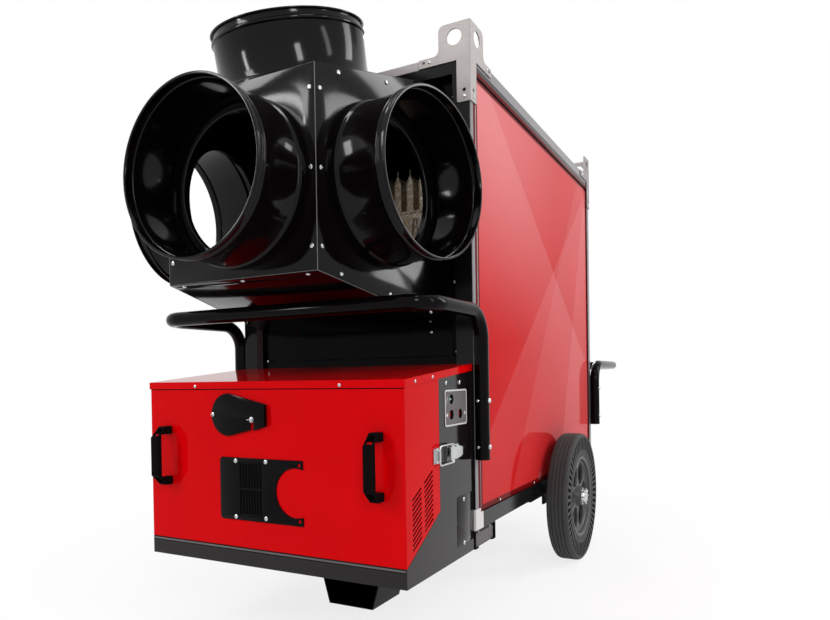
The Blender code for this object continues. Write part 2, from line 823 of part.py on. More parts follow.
def make_collars():
    """Four spigots: a stepped foot, a plain barrel, a bead and a rolled rim."""
    outer = COLLAR_RADIUS
    inner = COLLAR_RADIUS - SHEET
    foot = COLLAR_RADIUS + COLLAR_STEP
    bead = COLLAR_LENGTH - COLLAR_BEAD_INSET
    lip = COLLAR_BORE - FIT_GAP
    profile = [
        (outer + COLLAR_RIM / 2, COLLAR_LENGTH),
        (outer + COLLAR_RIM, COLLAR_LENGTH - COLLAR_RIM / 2),
        (outer + COLLAR_RIM / 2, COLLAR_LENGTH - COLLAR_RIM),
        (outer, COLLAR_LENGTH - COLLAR_RIM),
        (outer, bead + COLLAR_BEAD),
        (outer + COLLAR_BEAD, bead),
        (outer, bead - COLLAR_BEAD),
        (outer, COLLAR_STEP_HEIGHT),
        (foot, COLLAR_STEP_HEIGHT - COLLAR_STEP),
        (foot, FIT_GAP),
        (lip, FIT_GAP),
        (lip, -COLLAR_LIP),
        (lip - SHEET, -COLLAR_LIP),
        (lip - SHEET, FIT_GAP + SHEET),
        (foot - SHEET, FIT_GAP + SHEET),
        (foot - SHEET, COLLAR_STEP_HEIGHT - COLLAR_STEP),
        (inner, COLLAR_STEP_HEIGHT),
        (inner, COLLAR_LENGTH),
    ]
    for name, seat, direction in collar_seats():
        turned(name, profile, "black", seat, facing(direction))


def make_tube_handles():
    """The bent tube handles at both ends, with their legs beside the frame's posts."""
    ends = (
        ("front_tube_handle", HANDLE_LEG_INSET, -FRONT_HANDLE_REACH, FRONT_HANDLE_HEIGHT),
        ("rear_tube_handle", CABINET_LENGTH - HANDLE_LEG_INSET,
         CABINET_LENGTH + REAR_HANDLE_REACH, REAR_HANDLE_HEIGHT),
    )
    for name, leg, bar, height in ends:
        corners = [
            (TUBE_X, leg, HANDLE_LEG_BOTTOM), (TUBE_X, leg, height), (TUBE_X, bar, height),
            (-TUBE_X, bar, height), (-TUBE_X, leg, height), (-TUBE_X, leg, HANDLE_LEG_BOTTOM),
        ]
        tube(name, bent_path(corners, TUBE_BEND), TUBE_RADIUS, "black")


def make_burner_sides():
    """The fixed black sides and the tray under the burner."""
    back = -FIT_GAP
    seam = -HOOD_SIDE_BACK + FIT_GAP
    top_back = lid_top(FIT_GAP) - SHEET - FIT_GAP
    top_seam = lid_top(HOOD_SIDE_BACK) - SHEET - FIT_GAP
    outline = [
        (-HOUSING_REACH, HOUSING_BOTTOM), (back, HOUSING_BOTTOM), (back, top_back),
        (seam, top_seam), (seam, HOOD_SIDE_BOTTOM - FIT_GAP),
        (-HOUSING_REACH + SHEET, TRAY_TOP - FIT_GAP), (-HOUSING_REACH, TRAY_TOP - FIT_GAP),
    ]
    holes = [circle((-reach, height), CONTROL_HOLE) for reach, height in control_places()]
    middle = HOUSING_SIDE - SHEET / 2
    plate("burner_side_right", [outline] + holes, SHEET, "charcoal", (middle, 0, 0), FACING_SIDE)
    plate("burner_side_left", [outline], SHEET, "charcoal", (-middle, 0, 0), FACING_SIDE)
    inner = HOUSING_SIDE - SHEET - FIT_GAP
    tray = block("burner_tray", (-inner, -HOUSING_REACH, HOUSING_BOTTOM),
                 (inner, -FIT_GAP, TRAY_TOP - FIT_GAP), "charcoal")
    well = block_mesh("tray_well", [
        ((-inner + SHEET, -HOUSING_REACH + SHEET, HOUSING_BOTTOM + SHEET),
         (inner - SHEET, -FIT_GAP - SHEET, TRAY_TOP + CUT_OVERRUN))
    ])
    subtract(tray, add_cutter("tray_well", well))


def control_places():
    """Return the three control holes, as distance before the cabinet and height."""
    return [
        (CONTROL_NEAR, CONTROL_UPPER),
        (CONTROL_NEAR, CONTROL_LOWER),
        (CONTROL_FAR, CONTROL_LOWER),
    ]


def vent_cutter(hand):
    """Make the sloping vent slots of one side of the hood."""
    shape = bmesh.new()
    rise = math.sin(VENT_SLOPE)
    run = math.cos(VENT_SLOPE)
    for column in range(VENT_COLUMNS):
        for row in range(VENT_ROWS):
            start = -VENT_LOW[0] + column * VENT_COLUMN_PITCH
            height = VENT_LOW[1] + row * VENT_ROW_PITCH + column * VENT_COLUMN_PITCH * rise / run
            middle = Vector((hand * HOUSING_SIDE, start + VENT_COLUMN_WIDTH * run / 2,
                             height + VENT_COLUMN_WIDTH * rise / 2))
            slope = Matrix.Rotation(VENT_SLOPE, 4, "X")
            size = Matrix.Diagonal((CUT_OVERRUN, VENT_COLUMN_WIDTH, VENT_SLOT_HEIGHT, 1))
            bmesh.ops.create_cube(shape, size=1, matrix=Matrix.Translation(middle) @ slope @ size)
    return add_cutter("vent_slots", finished(shape, "vent_slots"))


def intake_windows():
    """Return the two windows of the intake, as left, low, right and high."""
    middle = (INTAKE_LOW + INTAKE_HIGH) / 2
    return [
        (INTAKE_LEFT, INTAKE_LOW, INTAKE_RIGHT, middle - INTAKE_BAR / 2),
        (INTAKE_LEFT, middle + INTAKE_BAR / 2, INTAKE_RIGHT, INTAKE_HIGH),
    ]


def make_hood():
    """The red cover: front and both sides, folded from one sheet, with its lid."""
    front = HOUSING_REACH
    shape = bmesh.new()
    verts = bmesh.ops.create_cube(shape, size=2)["verts"]
    for vert in verts:
        ahead = vert.co.y < 0
        reach = front if ahead else HOOD_SIDE_BACK
        low = TRAY_TOP + FIT_GAP if ahead else HOOD_SIDE_BOTTOM + FIT_GAP
        high = lid_top(reach) - SHEET - FIT_GAP
        vert.co = (HOUSING_SIDE * vert.co.x, -reach, high if vert.co.z > 0 else low)
    shape.normal_update()
    drop = [face for face in shape.faces
            if face.normal.y > FACING_SHARE or abs(face.normal.z) > FACING_SHARE]
    bmesh.ops.delete(shape, geom=drop, context="FACES_ONLY")
    hood = add_part("hood", finished(shape, "hood"), "red")
    shell = hood.modifiers.new("sheet", "SOLIDIFY")
    shell.thickness = SHEET
    shell.offset = -1
    shell.use_even_offset = True
    for hand in (1, -1):
        subtract(hood, vent_cutter(hand))
    slots = []
    pitch = (INTAKE_RIGHT - INTAKE_LEFT) / INTAKE_SLOTS
    for left, low, _, high in intake_windows():
        for slot in range(INTAKE_SLOTS):
            start = left + pitch * (slot + (1 - INTAKE_SLOT_SHARE) / 2)
            slots.append(((start, -front - CUT_OVERRUN, low),
                          (start + pitch * INTAKE_SLOT_SHARE, -front + CUT_OVERRUN, high)))
    subtract(hood, add_cutter("intake_slots", block_mesh("intake_slots", slots)))
    sight = rod_mesh("sight_hole", SIGHT_RADIUS, CUT_OVERRUN * 2, SMALL_STEPS)
    place_at = (FLAP_DISC_CENTRE[0], -front, FLAP_DISC_CENTRE[1])
    subtract(hood, add_cutter("sight_hole", sight, place_at, FACING_FRONT))
    make_lid()


def make_lid():
    """The red lid, which slopes up to the cabinet and has a lip on three sides."""
    side = HOUSING_SIDE + HOOD_TRAVEL_CLEARANCE + SHEET
    reach_front = HOUSING_REACH + FIT_GAP + SHEET
    shape = bmesh.new()
    verts = bmesh.ops.create_cube(shape, size=2)["verts"]
    for vert in verts:
        reach = reach_front if vert.co.y < 0 else LID_REAR_GAP
        high = lid_top(reach)
        low = high - LID_LIP
        vert.co = (side * vert.co.x, -reach, high if vert.co.z > 0 else low)
    shape.normal_update()
    drop = [face for face in shape.faces
            if face.normal.y > FACING_SHARE or face.normal.z < -FACING_SHARE]
    bmesh.ops.delete(shape, geom=drop, context="FACES_ONLY")
    lid = add_part("hood_lid", finished(shape, "hood_lid"), "red")
    shell = lid.modifiers.new("sheet", "SOLIDIFY")
    shell.thickness = SHEET
    shell.offset = -1
    shell.use_even_offset = True


def make_intake_plate():
    """The black plate that guides air past the intake, with its round notch."""
    quarter = math.pi / 2
    radius = PLATE_NOTCH_RADIUS
    centre = PLATE_NOTCH_CENTRE
    spread = math.acos((PLATE_RIGHT - centre[0]) / radius)
    round_low = (PLATE_LEFT + PLATE_CORNER, PLATE_LOW + PLATE_CORNER)
    round_high = (PLATE_LEFT + PLATE_CORNER, PLATE_HIGH - PLATE_CORNER)
    outline = arc(round_high, PLATE_CORNER, quarter, quarter * 2, CORNER_STEPS)
    outline += arc(round_low, PLATE_CORNER, quarter * 2, quarter * 3, CORNER_STEPS)
    outline.append((PLATE_RIGHT, PLATE_LOW))
    outline += arc(centre, radius, math.tau - spread, spread, ROUND_STEPS // 2)
    outline.append((PLATE_RIGHT, PLATE_HIGH))
    holes = []
    for left, low, right, high in intake_windows():
        holes.append([(left, low), (right, low), (right, high), (left, high)])
    half = PLATE_HOLE / 2
    for height in (PLATE_LOW + PLATE_HOLE_INSET, PLATE_HIGH - PLATE_HOLE_INSET):
        left = PLATE_RIGHT - PLATE_HOLE_INSET - half
        holes.append([(left, height - half), (left + PLATE_HOLE, height - half),
                      (left + PLATE_HOLE, height + half), (left, height + half)])
    front = -HOUSING_REACH - FIT_GAP - PLATE_THICKNESS / 2
    plate("intake_plate", [outline] + holes, PLATE_THICKNESS, "black", (0, front, 0), FACING_FRONT)


def make_sight_flap():
    """The swinging cover of the sight hole, with its origin on its pivot."""
    centre = (FLAP_DISC_CENTRE[0] - FLAP_PIVOT_X, 0)
    end = FLAP_END_X - FLAP_PIVOT_X
    top = FLAP_END_HIGH - FLAP_DISC_CENTRE[1]
    low = FLAP_END_LOW - FLAP_DISC_CENTRE[1]
    notch = FLAP_SCREW[0] - FLAP_PIVOT_X
    screw_drop = FLAP_SCREW[1] - FLAP_DISC_CENTRE[1]
    half = FLAP_NOTCH_WIDTH / 2
    disc = arc(centre, FLAP_DISC_RADIUS, FLAP_LEAN, math.tau - FLAP_LEAN, ROUND_STEPS // 2)
    last = disc[-1]
    share = (notch - half - last[0]) / (end - last[0])
    edge = last[1] + (low - last[1]) * share
    outline = disc + [(notch - half, edge)]
    outline += arc((notch, screw_drop), half, math.pi, 0, SMALL_STEPS // 2)
    outline += [(notch + half, edge + (low - edge) * FLAP_NOTCH_WIDTH / end), (end, low), (end, top)]
    pivot = circle((0, 0), FLAP_SCREW_SHANK + FIT_GAP)
    back = -HOUSING_REACH - FLAP_STANDOFF
    flap = plate("sight_flap", [outline, pivot], FLAP_THICKNESS, "black",
                 (FLAP_PIVOT_X, back - FLAP_THICKNESS / 2, FLAP_DISC_CENTRE[1]), FACING_FRONT)
    rim = block_mesh("flap_rim", [((end - FLAP_THICKNESS, low, -FLAP_THICKNESS / 2),
                                   (end, top, FLAP_RIM))])
    rim = add_cutter("flap_rim", rim, flap.location, FACING_FRONT)
    unite(flap, rim)


def make_flap_pivot():
    """The shouldered screw that carries the flap."""
    shank = FLAP_STANDOFF + FLAP_THICKNESS + FIT_GAP
    turned("flap_pivot", [
        (0, shank + SCREW_HEAD), (FLAP_SCREW_HEAD, shank + SCREW_HEAD), (FLAP_SCREW_HEAD, shank),
        (FLAP_SCREW_SHANK, shank), (FLAP_SCREW_SHANK, FIT_GAP), (0, FIT_GAP),
    ], "zinc", (FLAP_PIVOT_X, -HOUSING_REACH, FLAP_DISC_CENTRE[1]), FACING_FRONT, closed=False,
        steps=SMALL_STEPS)


def make_hood_handles():
    """Two moulded pull handles on the front of the hood."""
    reach = GRIP_REACH
    outline = [
        (0, GRIP_LOW), (reach - GRIP_CHAMFER, GRIP_LOW), (reach, GRIP_LOW + GRIP_CHAMFER),
        (reach, GRIP_HIGH - GRIP_CHAMFER), (reach - GRIP_CHAMFER, GRIP_HIGH), (0, GRIP_HIGH),
        (0, GRIP_HIGH - GRIP_FOOT_HEIGHT),
        (reach - GRIP_CHAMFER, GRIP_HIGH - GRIP_FOOT_HEIGHT),
        (reach - GRIP_BAR, GRIP_HIGH - GRIP_CHAMFER - GRIP_BAR),
        (reach - GRIP_BAR, GRIP_LOW + GRIP_CHAMFER + GRIP_BAR),
        (reach - GRIP_CHAMFER, GRIP_LOW + GRIP_FOOT_HEIGHT),
        (0, GRIP_LOW + GRIP_FOOT_HEIGHT),
    ]
    outline = [(-away, height) for away, height in outline]
    front = -HOUSING_REACH - FIT_GAP
    for word, hand in (("right", 1), ("left", -1)):
        grip = plate("hood_handle_" + word, [outline], GRIP_WIDTH, "plastic",
                     (hand * GRIP_X, front, 0), FACING_SIDE)
        bevel(grip, GRIP_EDGE)


def make_controls():
    """The label plate, the switch box behind it, a knob and two push buttons."""
    outline = rounded_box(-CONTROL_FRONT, CONTROL_LOW, -CONTROL_BACK, CONTROL_HIGH, CONTROL_CORNER)
    holes = [circle((-reach, height), CONTROL_HOLE) for reach, height in control_places()]
    middle = HOUSING_SIDE + FIT_GAP + CONTROL_PLATE / 2
    plate("control_plate", [outline] + holes, CONTROL_PLATE, "charcoal", (middle, 0, 0), FACING_SIDE)
    face = HOUSING_SIDE - SHEET - FIT_GAP
    box = block("switch_box",
                (face - SWITCH_BOX_DEPTH, -CONTROL_FRONT, CONTROL_LOW + SWITCH_BOX_MARGIN),
                (face, -CONTROL_BACK, CONTROL_HIGH - SWITCH_BOX_MARGIN), "plastic")
    names = ("selector_knob", "reset_button", "stop_button")
    keys = ("green", "red", "red")
    front = HOUSING_SIDE - BUTTON_RECESS
    for name, key, (reach, height) in zip(names, keys, control_places()):
        spare = FIT_GAP if name == "selector_knob" else BUTTON_TRAVEL + FIT_GAP
        bottom = front - BUTTON_LENGTH - spare
        depth = face - bottom
        well = rod_mesh(name + "_well", CONTROL_HOLE, depth + CUT_OVERRUN, SMALL_STEPS * 2)
        well_middle = bottom + (depth + CUT_OVERRUN) / 2
        subtract(box, add_cutter(name + "_well", well, (well_middle, -reach, height), AXIS_SIDEWAYS))
        body = rod_mesh(name, BUTTON_RADIUS, BUTTON_LENGTH, SMALL_STEPS * 2)
        body.transform(Matrix.Translation((0, 0, -BUTTON_LENGTH / 2)))
        button = add_part(name, body, key, (front, -reach, height), AXIS_SIDEWAYS)
        if name == "selector_knob":
            half = KNOB_WING / 2
            wing = block_mesh("knob_wing", [
                ((-BUTTON_RADIUS + KNOB_WING, -half, -KNOB_WING),
                 (BUTTON_RADIUS - KNOB_WING, half, KNOB_WING_HEIGHT))
            ])
            unite(button, add_cutter("knob_wing", wing, button.location, AXIS_SIDEWAYS))


def latch_lever(name, hand):
    """The lever of a latch, with its origin on the pin in the base."""
    half_plate = LATCH_LEVER_PLATE / 2
    tip = LATCH_LEVER_LENGTH
    taper = tip - LATCH_LEVER_HALF
    outline = [
        (-LATCH_BOSS_RADIUS, -LATCH_LEVER_HALF), (taper, -LATCH_LEVER_HALF),
        (tip, -LATCH_LEVER_TIP_HALF), (tip, LATCH_LEVER_TIP_HALF),
        (taper, LATCH_LEVER_HALF), (-LATCH_BOSS_RADIUS, LATCH_LEVER_HALF),
    ]
    spot = (hand * PIVOT_X, -LATCH_PIVOT_SETBACK, LATCH_HEIGHT)
    mesh = outline_mesh(name, [outline], half_plate * 2)
    lever = add_part(name, mesh, "zinc", spot, FACING_SIDE)
    ear = LATCH_BASE_HALF - LATCH_EAR - FIT_GAP
    boss = rod_mesh("lever_boss", LATCH_BOSS_RADIUS, ear * 2, SMALL_STEPS)
    unite(lever, add_cutter("lever_boss", boss, spot))


def latch_loop(name, hand):
    """The wire bail of a latch, with its origin on the pin in the lever."""
    inner = LATCH_LEVER_HALF + FIT_GAP
    spot = (hand * PIVOT_X, -LATCH_PIVOT_SETBACK + LATCH_CRANK, LATCH_HEIGHT)
    reach = LATCH_CRANK + LATCH_LOOP_REACH
    corners = [
        (0, 0, inner), (0, 0, LATCH_LOOP_HALF), (0, -reach, LATCH_LOOP_HALF),
        (0, -reach, -LATCH_LOOP_HALF), (0, 0, -LATCH_LOOP_HALF), (0, 0, -inner),
    ]
    tube(name, bent_path(corners, LATCH_LOOP_BEND, 3), LATCH_WIRE, "zinc", spot, sides=2)


def make_latches():
    """A toggle latch on each side: base, lever, wire loop, and the keeper on the hood."""
    face = HOUSING_SIDE + FIT_GAP
    low = LATCH_HEIGHT - LATCH_BASE_HALF
    high = LATCH_HEIGHT + LATCH_BASE_HALF
    hook = PIVOT_X - LATCH_WIRE - FIT_GAP
    catch = -LATCH_PIVOT_SETBACK - LATCH_LOOP_REACH
    sink = face + LATCH_BASE_PLATE / 2
    ear_back = -LATCH_PIVOT_SETBACK + LATCH_EAR_HALF
    ear_front = -LATCH_PIVOT_SETBACK - LATCH_EAR_HALF
    for word, hand in (("right", 1), ("left", -1)):
        base = block("latch_base_" + word, *on_side(
            hand, (face, -LATCH_BASE_FRONT, low), (face + LATCH_BASE_PLATE, -LATCH_BASE_BACK, high)
        ), "zinc")
        ears = block_mesh("latch_ears", [
            on_side(hand, (sink, ear_front, start), (PIVOT_X + LATCH_BOSS_RADIUS, ear_back, end))
            for start, end in ((low, low + LATCH_EAR), (high - LATCH_EAR, high))
        ])
        unite(base, add_cutter("latch_ears", ears))
        keeper = block("latch_keeper_" + word, *on_side(
            hand, (face, -KEEPER_FRONT, LATCH_HEIGHT - KEEPER_HALF),
            (face + LATCH_BASE_PLATE, -KEEPER_BACK, LATCH_HEIGHT + KEEPER_HALF)
        ), "zinc")
        tongue = block_mesh("keeper_hook", [on_side(
            hand, (sink, catch - KEEPER_HOOK_DEPTH, LATCH_HEIGHT - KEEPER_HOOK_HALF),
            (hook, catch + KEEPER_HOOK_DEPTH, LATCH_HEIGHT + KEEPER_HOOK_HALF))])
        unite(keeper, add_cutter("keeper_hook", tongue))
        latch_lever("latch_lever_" + word, hand)
        latch_loop("latch_loop_" + word, hand)


def make_front_foot():
    """The closed cross channel under the cabinet's front, with the trapezoid foot welded to it."""
    sheet = SUPPORT_SHEET
    top = CABINET_BOTTOM - FIT_GAP
    crown = HOUSING_BOTTOM - FIT_GAP
    low = crown - sheet / 2
    front, back = SUPPORT_FRONT, SUPPORT_BACK
    outline = [
        (front, low), (front + SUPPORT_LIP, low), (front + SUPPORT_LIP, low + sheet),
        (front + sheet, low + sheet), (front + sheet, top - sheet),
        (back - sheet, top - sheet), (back - sheet, low + sheet),
        (back - SUPPORT_LIP, low + sheet), (back - SUPPORT_LIP, low), (back, low),
        (back, top), (front, top),
    ]
    foot = plate("front_foot", [outline], SUPPORT_WIDTH, "black", (0, 0, 0), FACING_SIDE)
    near, far, roof = front + sheet / 2, back - sheet / 2, top - sheet / 2
    for hand in (1, -1):
        end = outline_mesh(
            "channel_end", [[(near, crown), (far, crown), (far, roof), (near, roof)]], sheet)
        seat = (hand * (SUPPORT_WIDTH / 2 - SUPPORT_END_INSET), 0, 0)
        unite(foot, add_cutter("channel_end", end, seat, FACING_SIDE))
    lean = (FOOT_TOP_HALF - FOOT_SOLE_HALF) / crown
    thick = sheet * math.sqrt(1 + lean * lean)
    half = [
        (FOOT_SOLE_HALF, 0), (FOOT_TOP_HALF, crown - sheet),
        (FOOT_TOP_HALF + FOOT_FLANGE, crown - sheet), (FOOT_TOP_HALF + FOOT_FLANGE, crown),
        (FOOT_TOP_HALF - thick, crown), (FOOT_SOLE_HALF + lean * sheet - thick, sheet),
    ]
    outline = half + [(-across, height) for across, height in reversed(half)]
    long = FOOT_BACK - FOOT_FRONT
    hat = outline_mesh("foot_hat", [outline], long)
    unite(foot, add_cutter("foot_hat", hat, (0, FOOT_FRONT + long / 2, 0), FACING_FRONT))
    half = [(FOOT_SOLE_HALF, sheet / 2), (FOOT_TOP_HALF - thick / 2, crown - sheet / 2)]
    outline = half + [(-across, height) for across, height in reversed(half)]
    end = outline_mesh("foot_end", [outline], sheet)
    unite(foot, add_cutter("foot_end", end, (0, FOOT_BACK - sheet, 0), FACING_FRONT))


def make_wheels():
    """The axle with its end caps, its support, and two wheels about their own centres."""
    cap = WHEEL_X + HUB_WIDTH / 2 + FIT_GAP
    centre = (0, WHEEL_SETBACK, WHEEL_RADIUS)
    crown = AXLE_CAP_RADIUS * CAP_CROWN_SHARE
    turned("axle", [
        (0, cap + AXLE_CAP_LENGTH), (crown, cap + AXLE_CAP_LENGTH), (AXLE_CAP_RADIUS, cap),
        (AXLE_RADIUS, cap), (AXLE_RADIUS, -cap), (AXLE_CAP_RADIUS, -cap),
        (crown, -cap - AXLE_CAP_LENGTH), (0, -cap - AXLE_CAP_LENGTH),
    ], "zinc", centre, AXIS_SIDEWAYS, closed=False, steps=SMALL_STEPS * 2)
    top = CABINET_BOTTOM - FIT_GAP
    inner = HALF_WIDTH - AXLE_EAR_INSET
    eye = AXLE_EAR_LENGTH / 2
    long = AXLE_PLATE_LENGTH / 2
    support = block("axle_support", (-HALF_WIDTH, WHEEL_SETBACK - long, top - AXLE_PLATE),
                    (HALF_WIDTH, WHEEL_SETBACK + long, top), "black")
    ears = block_mesh("axle_ears", [
        on_side(hand, (inner, WHEEL_SETBACK - eye, top - AXLE_EAR_DROP),
                (inner + AXLE_EAR, WHEEL_SETBACK + eye, top - AXLE_PLATE / 2))
        for hand in (1, -1)
    ])
    unite(support, add_cutter("axle_ears", ears))
    bore = rod_mesh("ear_bore", AXLE_RADIUS + FIT_GAP, CABINET_WIDTH, SMALL_STEPS * 2)
    subtract(support, add_cutter("ear_bore", bore, centre, AXIS_SIDEWAYS))
    for word, hand in (("right", 1), ("left", -1)):
        make_wheel(word, (hand * WHEEL_X, WHEEL_SETBACK, WHEEL_RADIUS), hand)


def make_wheel(word, centre, hand):
    """One solid rubber tyre on its spoked rim."""
    half = TREAD_WIDTH / 2
    bead = RIM_RADIUS + FIT_GAP
    shoulder = WHEEL_RADIUS - TREAD_CROWN
    wall = half - SIDEWALL_INSET
    bead_half = RIM_WIDTH / 2
    tyre = [
        (bead, bead_half), (bead + TREAD_SHOULDER, wall), (shoulder - TREAD_SHOULDER * 2, wall),
        (shoulder - TREAD_SHOULDER, half), (shoulder, half - TREAD_CROWN),
        (WHEEL_RADIUS, half - TREAD_SHOULDER),
        (WHEEL_RADIUS, -half + TREAD_SHOULDER), (shoulder, -half + TREAD_CROWN),
        (shoulder - TREAD_SHOULDER, -half), (shoulder - TREAD_SHOULDER * 2, -wall),
        (bead + TREAD_SHOULDER, -wall), (bead, -bead_half),
    ]
    lay = (0, hand * math.pi / 2, 0)
    turned("tyre_" + word, tyre, "tyre", centre, lay, steps=WHEEL_STEPS)
    hub = HUB_WIDTH / 2
    bore = AXLE_RADIUS + FIT_GAP
    barrel = RIM_RADIUS - RIM_BARREL
    web = WEB_THICKNESS / 2
    rim = [
        (bore, hub), (HUB_RADIUS, hub), (HUB_RADIUS, WEB_DISH + web), (barrel, web),
        (barrel, bead_half), (RIM_RADIUS, bead_half), (RIM_RADIUS, -bead_half),
        (barrel, -bead_half), (barrel, -web), (HUB_RADIUS, WEB_DISH - web),
        (HUB_RADIUS, -hub), (bore, -hub),
    ]
    rim = turned("rim_" + word, rim, "tyre", centre, lay, steps=WHEEL_STEPS)
    outline = spoke_window()
    shape = bmesh.new()
    for spoke in range(SPOKES):
        mesh = outline_mesh("window", [outline], HUB_WIDTH)
        mesh.transform(Matrix.Rotation(math.tau * spoke / SPOKES, 4, "Z"))
        shape.from_mesh(mesh)
    windows = add_cutter("spoke_windows", finished(shape, "spoke_windows"), centre, lay)
    subtract(rim, windows)


def spoke_window():
    """Return the outline of one opening between two spokes."""
    half = math.pi / SPOKES
    side = SPOKE_WIDTH / 2
    inner_turn = half - math.asin(side / SPOKE_INNER)
    outer_turn = half - math.asin(side / SPOKE_OUTER)
    outline = arc((0, 0), SPOKE_OUTER, -outer_turn, outer_turn, CORNER_STEPS)
    outline += arc((0, 0), SPOKE_INNER, inner_turn, -inner_turn, CORNER_STEPS // 2)
    return outline


def make_exchanger():
    """The combustion chamber on its saddles, the header with its flat tubes, and the flue."""
    outer = CHAMBER_RADIUS
    inner = CHAMBER_RADIUS - CHAMBER_WALL
    end = CHAMBER_LENGTH
    wall = CHAMBER_WALL
    profile = [
        (0, end), (outer - CHAMBER_EDGE, end), (outer, end - CHAMBER_EDGE), (outer, CHAMBER_EDGE),
        (outer - CHAMBER_EDGE, 0), (CHAMBER_MOUTH, 0), (CHAMBER_MOUTH, wall),
        (inner - CHAMBER_EDGE, wall), (inner, CHAMBER_EDGE), (inner, end - CHAMBER_EDGE),
        (inner - CHAMBER_EDGE, end - wall), (0, end - wall),
    ]
    turned("combustion_chamber", profile, "hot_steel", (0, CHAMBER_FRONT, FIRE_HEIGHT),
           FACING_BACK, closed=False)
    drum = rod_mesh("drum", CHAMBER_RADIUS + FIT_GAP, CABINET_LENGTH)
    drum = add_cutter("drum", drum, (0, CHAMBER_FRONT + end / 2, FIRE_HEIGHT), FACING_BACK)
    floor = CABINET_BOTTOM + SIDE_RECESS + PANEL_THICKNESS + FIT_GAP
    half = SADDLE_WIDTH / 2
    cradle = block("chamber_cradle", (-half, SADDLE_SETBACKS[0], floor),
                   (half, SADDLE_SETBACKS[1], floor + SADDLE_SHEET), "black")
    saddles = block_mesh("saddles", [
        ((-half, setback - SADDLE_LENGTH / 2, floor),
         (half, setback + SADDLE_LENGTH / 2, floor + SADDLE_HEIGHT))
        for setback in SADDLE_SETBACKS
    ])
    unite(cradle, add_cutter("saddles", saddles))
    subtract(cradle, drum)
    crown = FIRE_HEIGHT + CHAMBER_RADIUS
    header = block("exchanger_bank", (-HEADER_WIDTH / 2, HEADER_FRONT, crown - HEADER_SINK),
                   (HEADER_WIDTH / 2, HEADER_BACK, HEADER_TOP), "hot_steel")
    subtract(header, drum)
    inner = HEADER_WIDTH / 2 - CHAMBER_WALL
    hollow = block_mesh("header_space", [
        ((-inner, HEADER_FRONT + CHAMBER_WALL, crown - HEADER_SINK - CUT_OVERRUN),
         (inner, HEADER_BACK - CHAMBER_WALL, HEADER_TOP - FIN_CRIMP - CHAMBER_WALL))
    ])
    subtract(header, add_cutter("header_space", hollow))
    shape = bmesh.new()
    for row in FIN_ROWS:
        for index in range(FIN_COUNT):
            fin = fin_mesh()
            across = (index - (FIN_COUNT - 1) / 2) * FIN_PITCH
            fin.transform(Matrix.Translation((across, row, 0)))
            shape.from_mesh(fin)
    unite(header, add_cutter("fins", finished(shape, "fins")))
    flue_low = crown - FLUE_SINK
    flue_top = CABINET_TOP + FLUE_RISE
    roof = CABINET_TOP - SIDE_RECESS + FIT_GAP
    outer, inner = FLUE_RADIUS, FLUE_RADIUS - FLUE_WALL
    flange = FLUE_RADIUS + FLUE_FLANGE
    flue = turned("flue_pipe", [
        (outer, flue_top), (outer, roof + FLUE_WALL), (flange, roof + FLUE_WALL), (flange, roof),
        (outer, roof), (outer, flue_low), (inner, flue_low), (inner, flue_top),
    ], "stainless", (0, FLUE_SETBACK, 0), (0, 0, 0))
    subtract(flue, drum)


def fin_mesh():
    """Return one flattened tube with a crimped top, upright, with its middle on X and Y."""
    half = FIN_WIDTH / 2
    ridge = half * FIN_RIDGE_SHARE
    shoulder = FIN_TOP - FIN_CRIMP
    low = HEADER_TOP - FIN_CRIMP
    outline = [(-half, low), (half, low), (half, shoulder), (ridge, FIN_TOP), (-ridge, FIN_TOP),
               (-half, shoulder)]
    mesh = outline_mesh("fin", [outline], FIN_DEPTH)
    mesh.transform(Matrix.Rotation(math.pi / 2, 4, "X"))
    return mesh


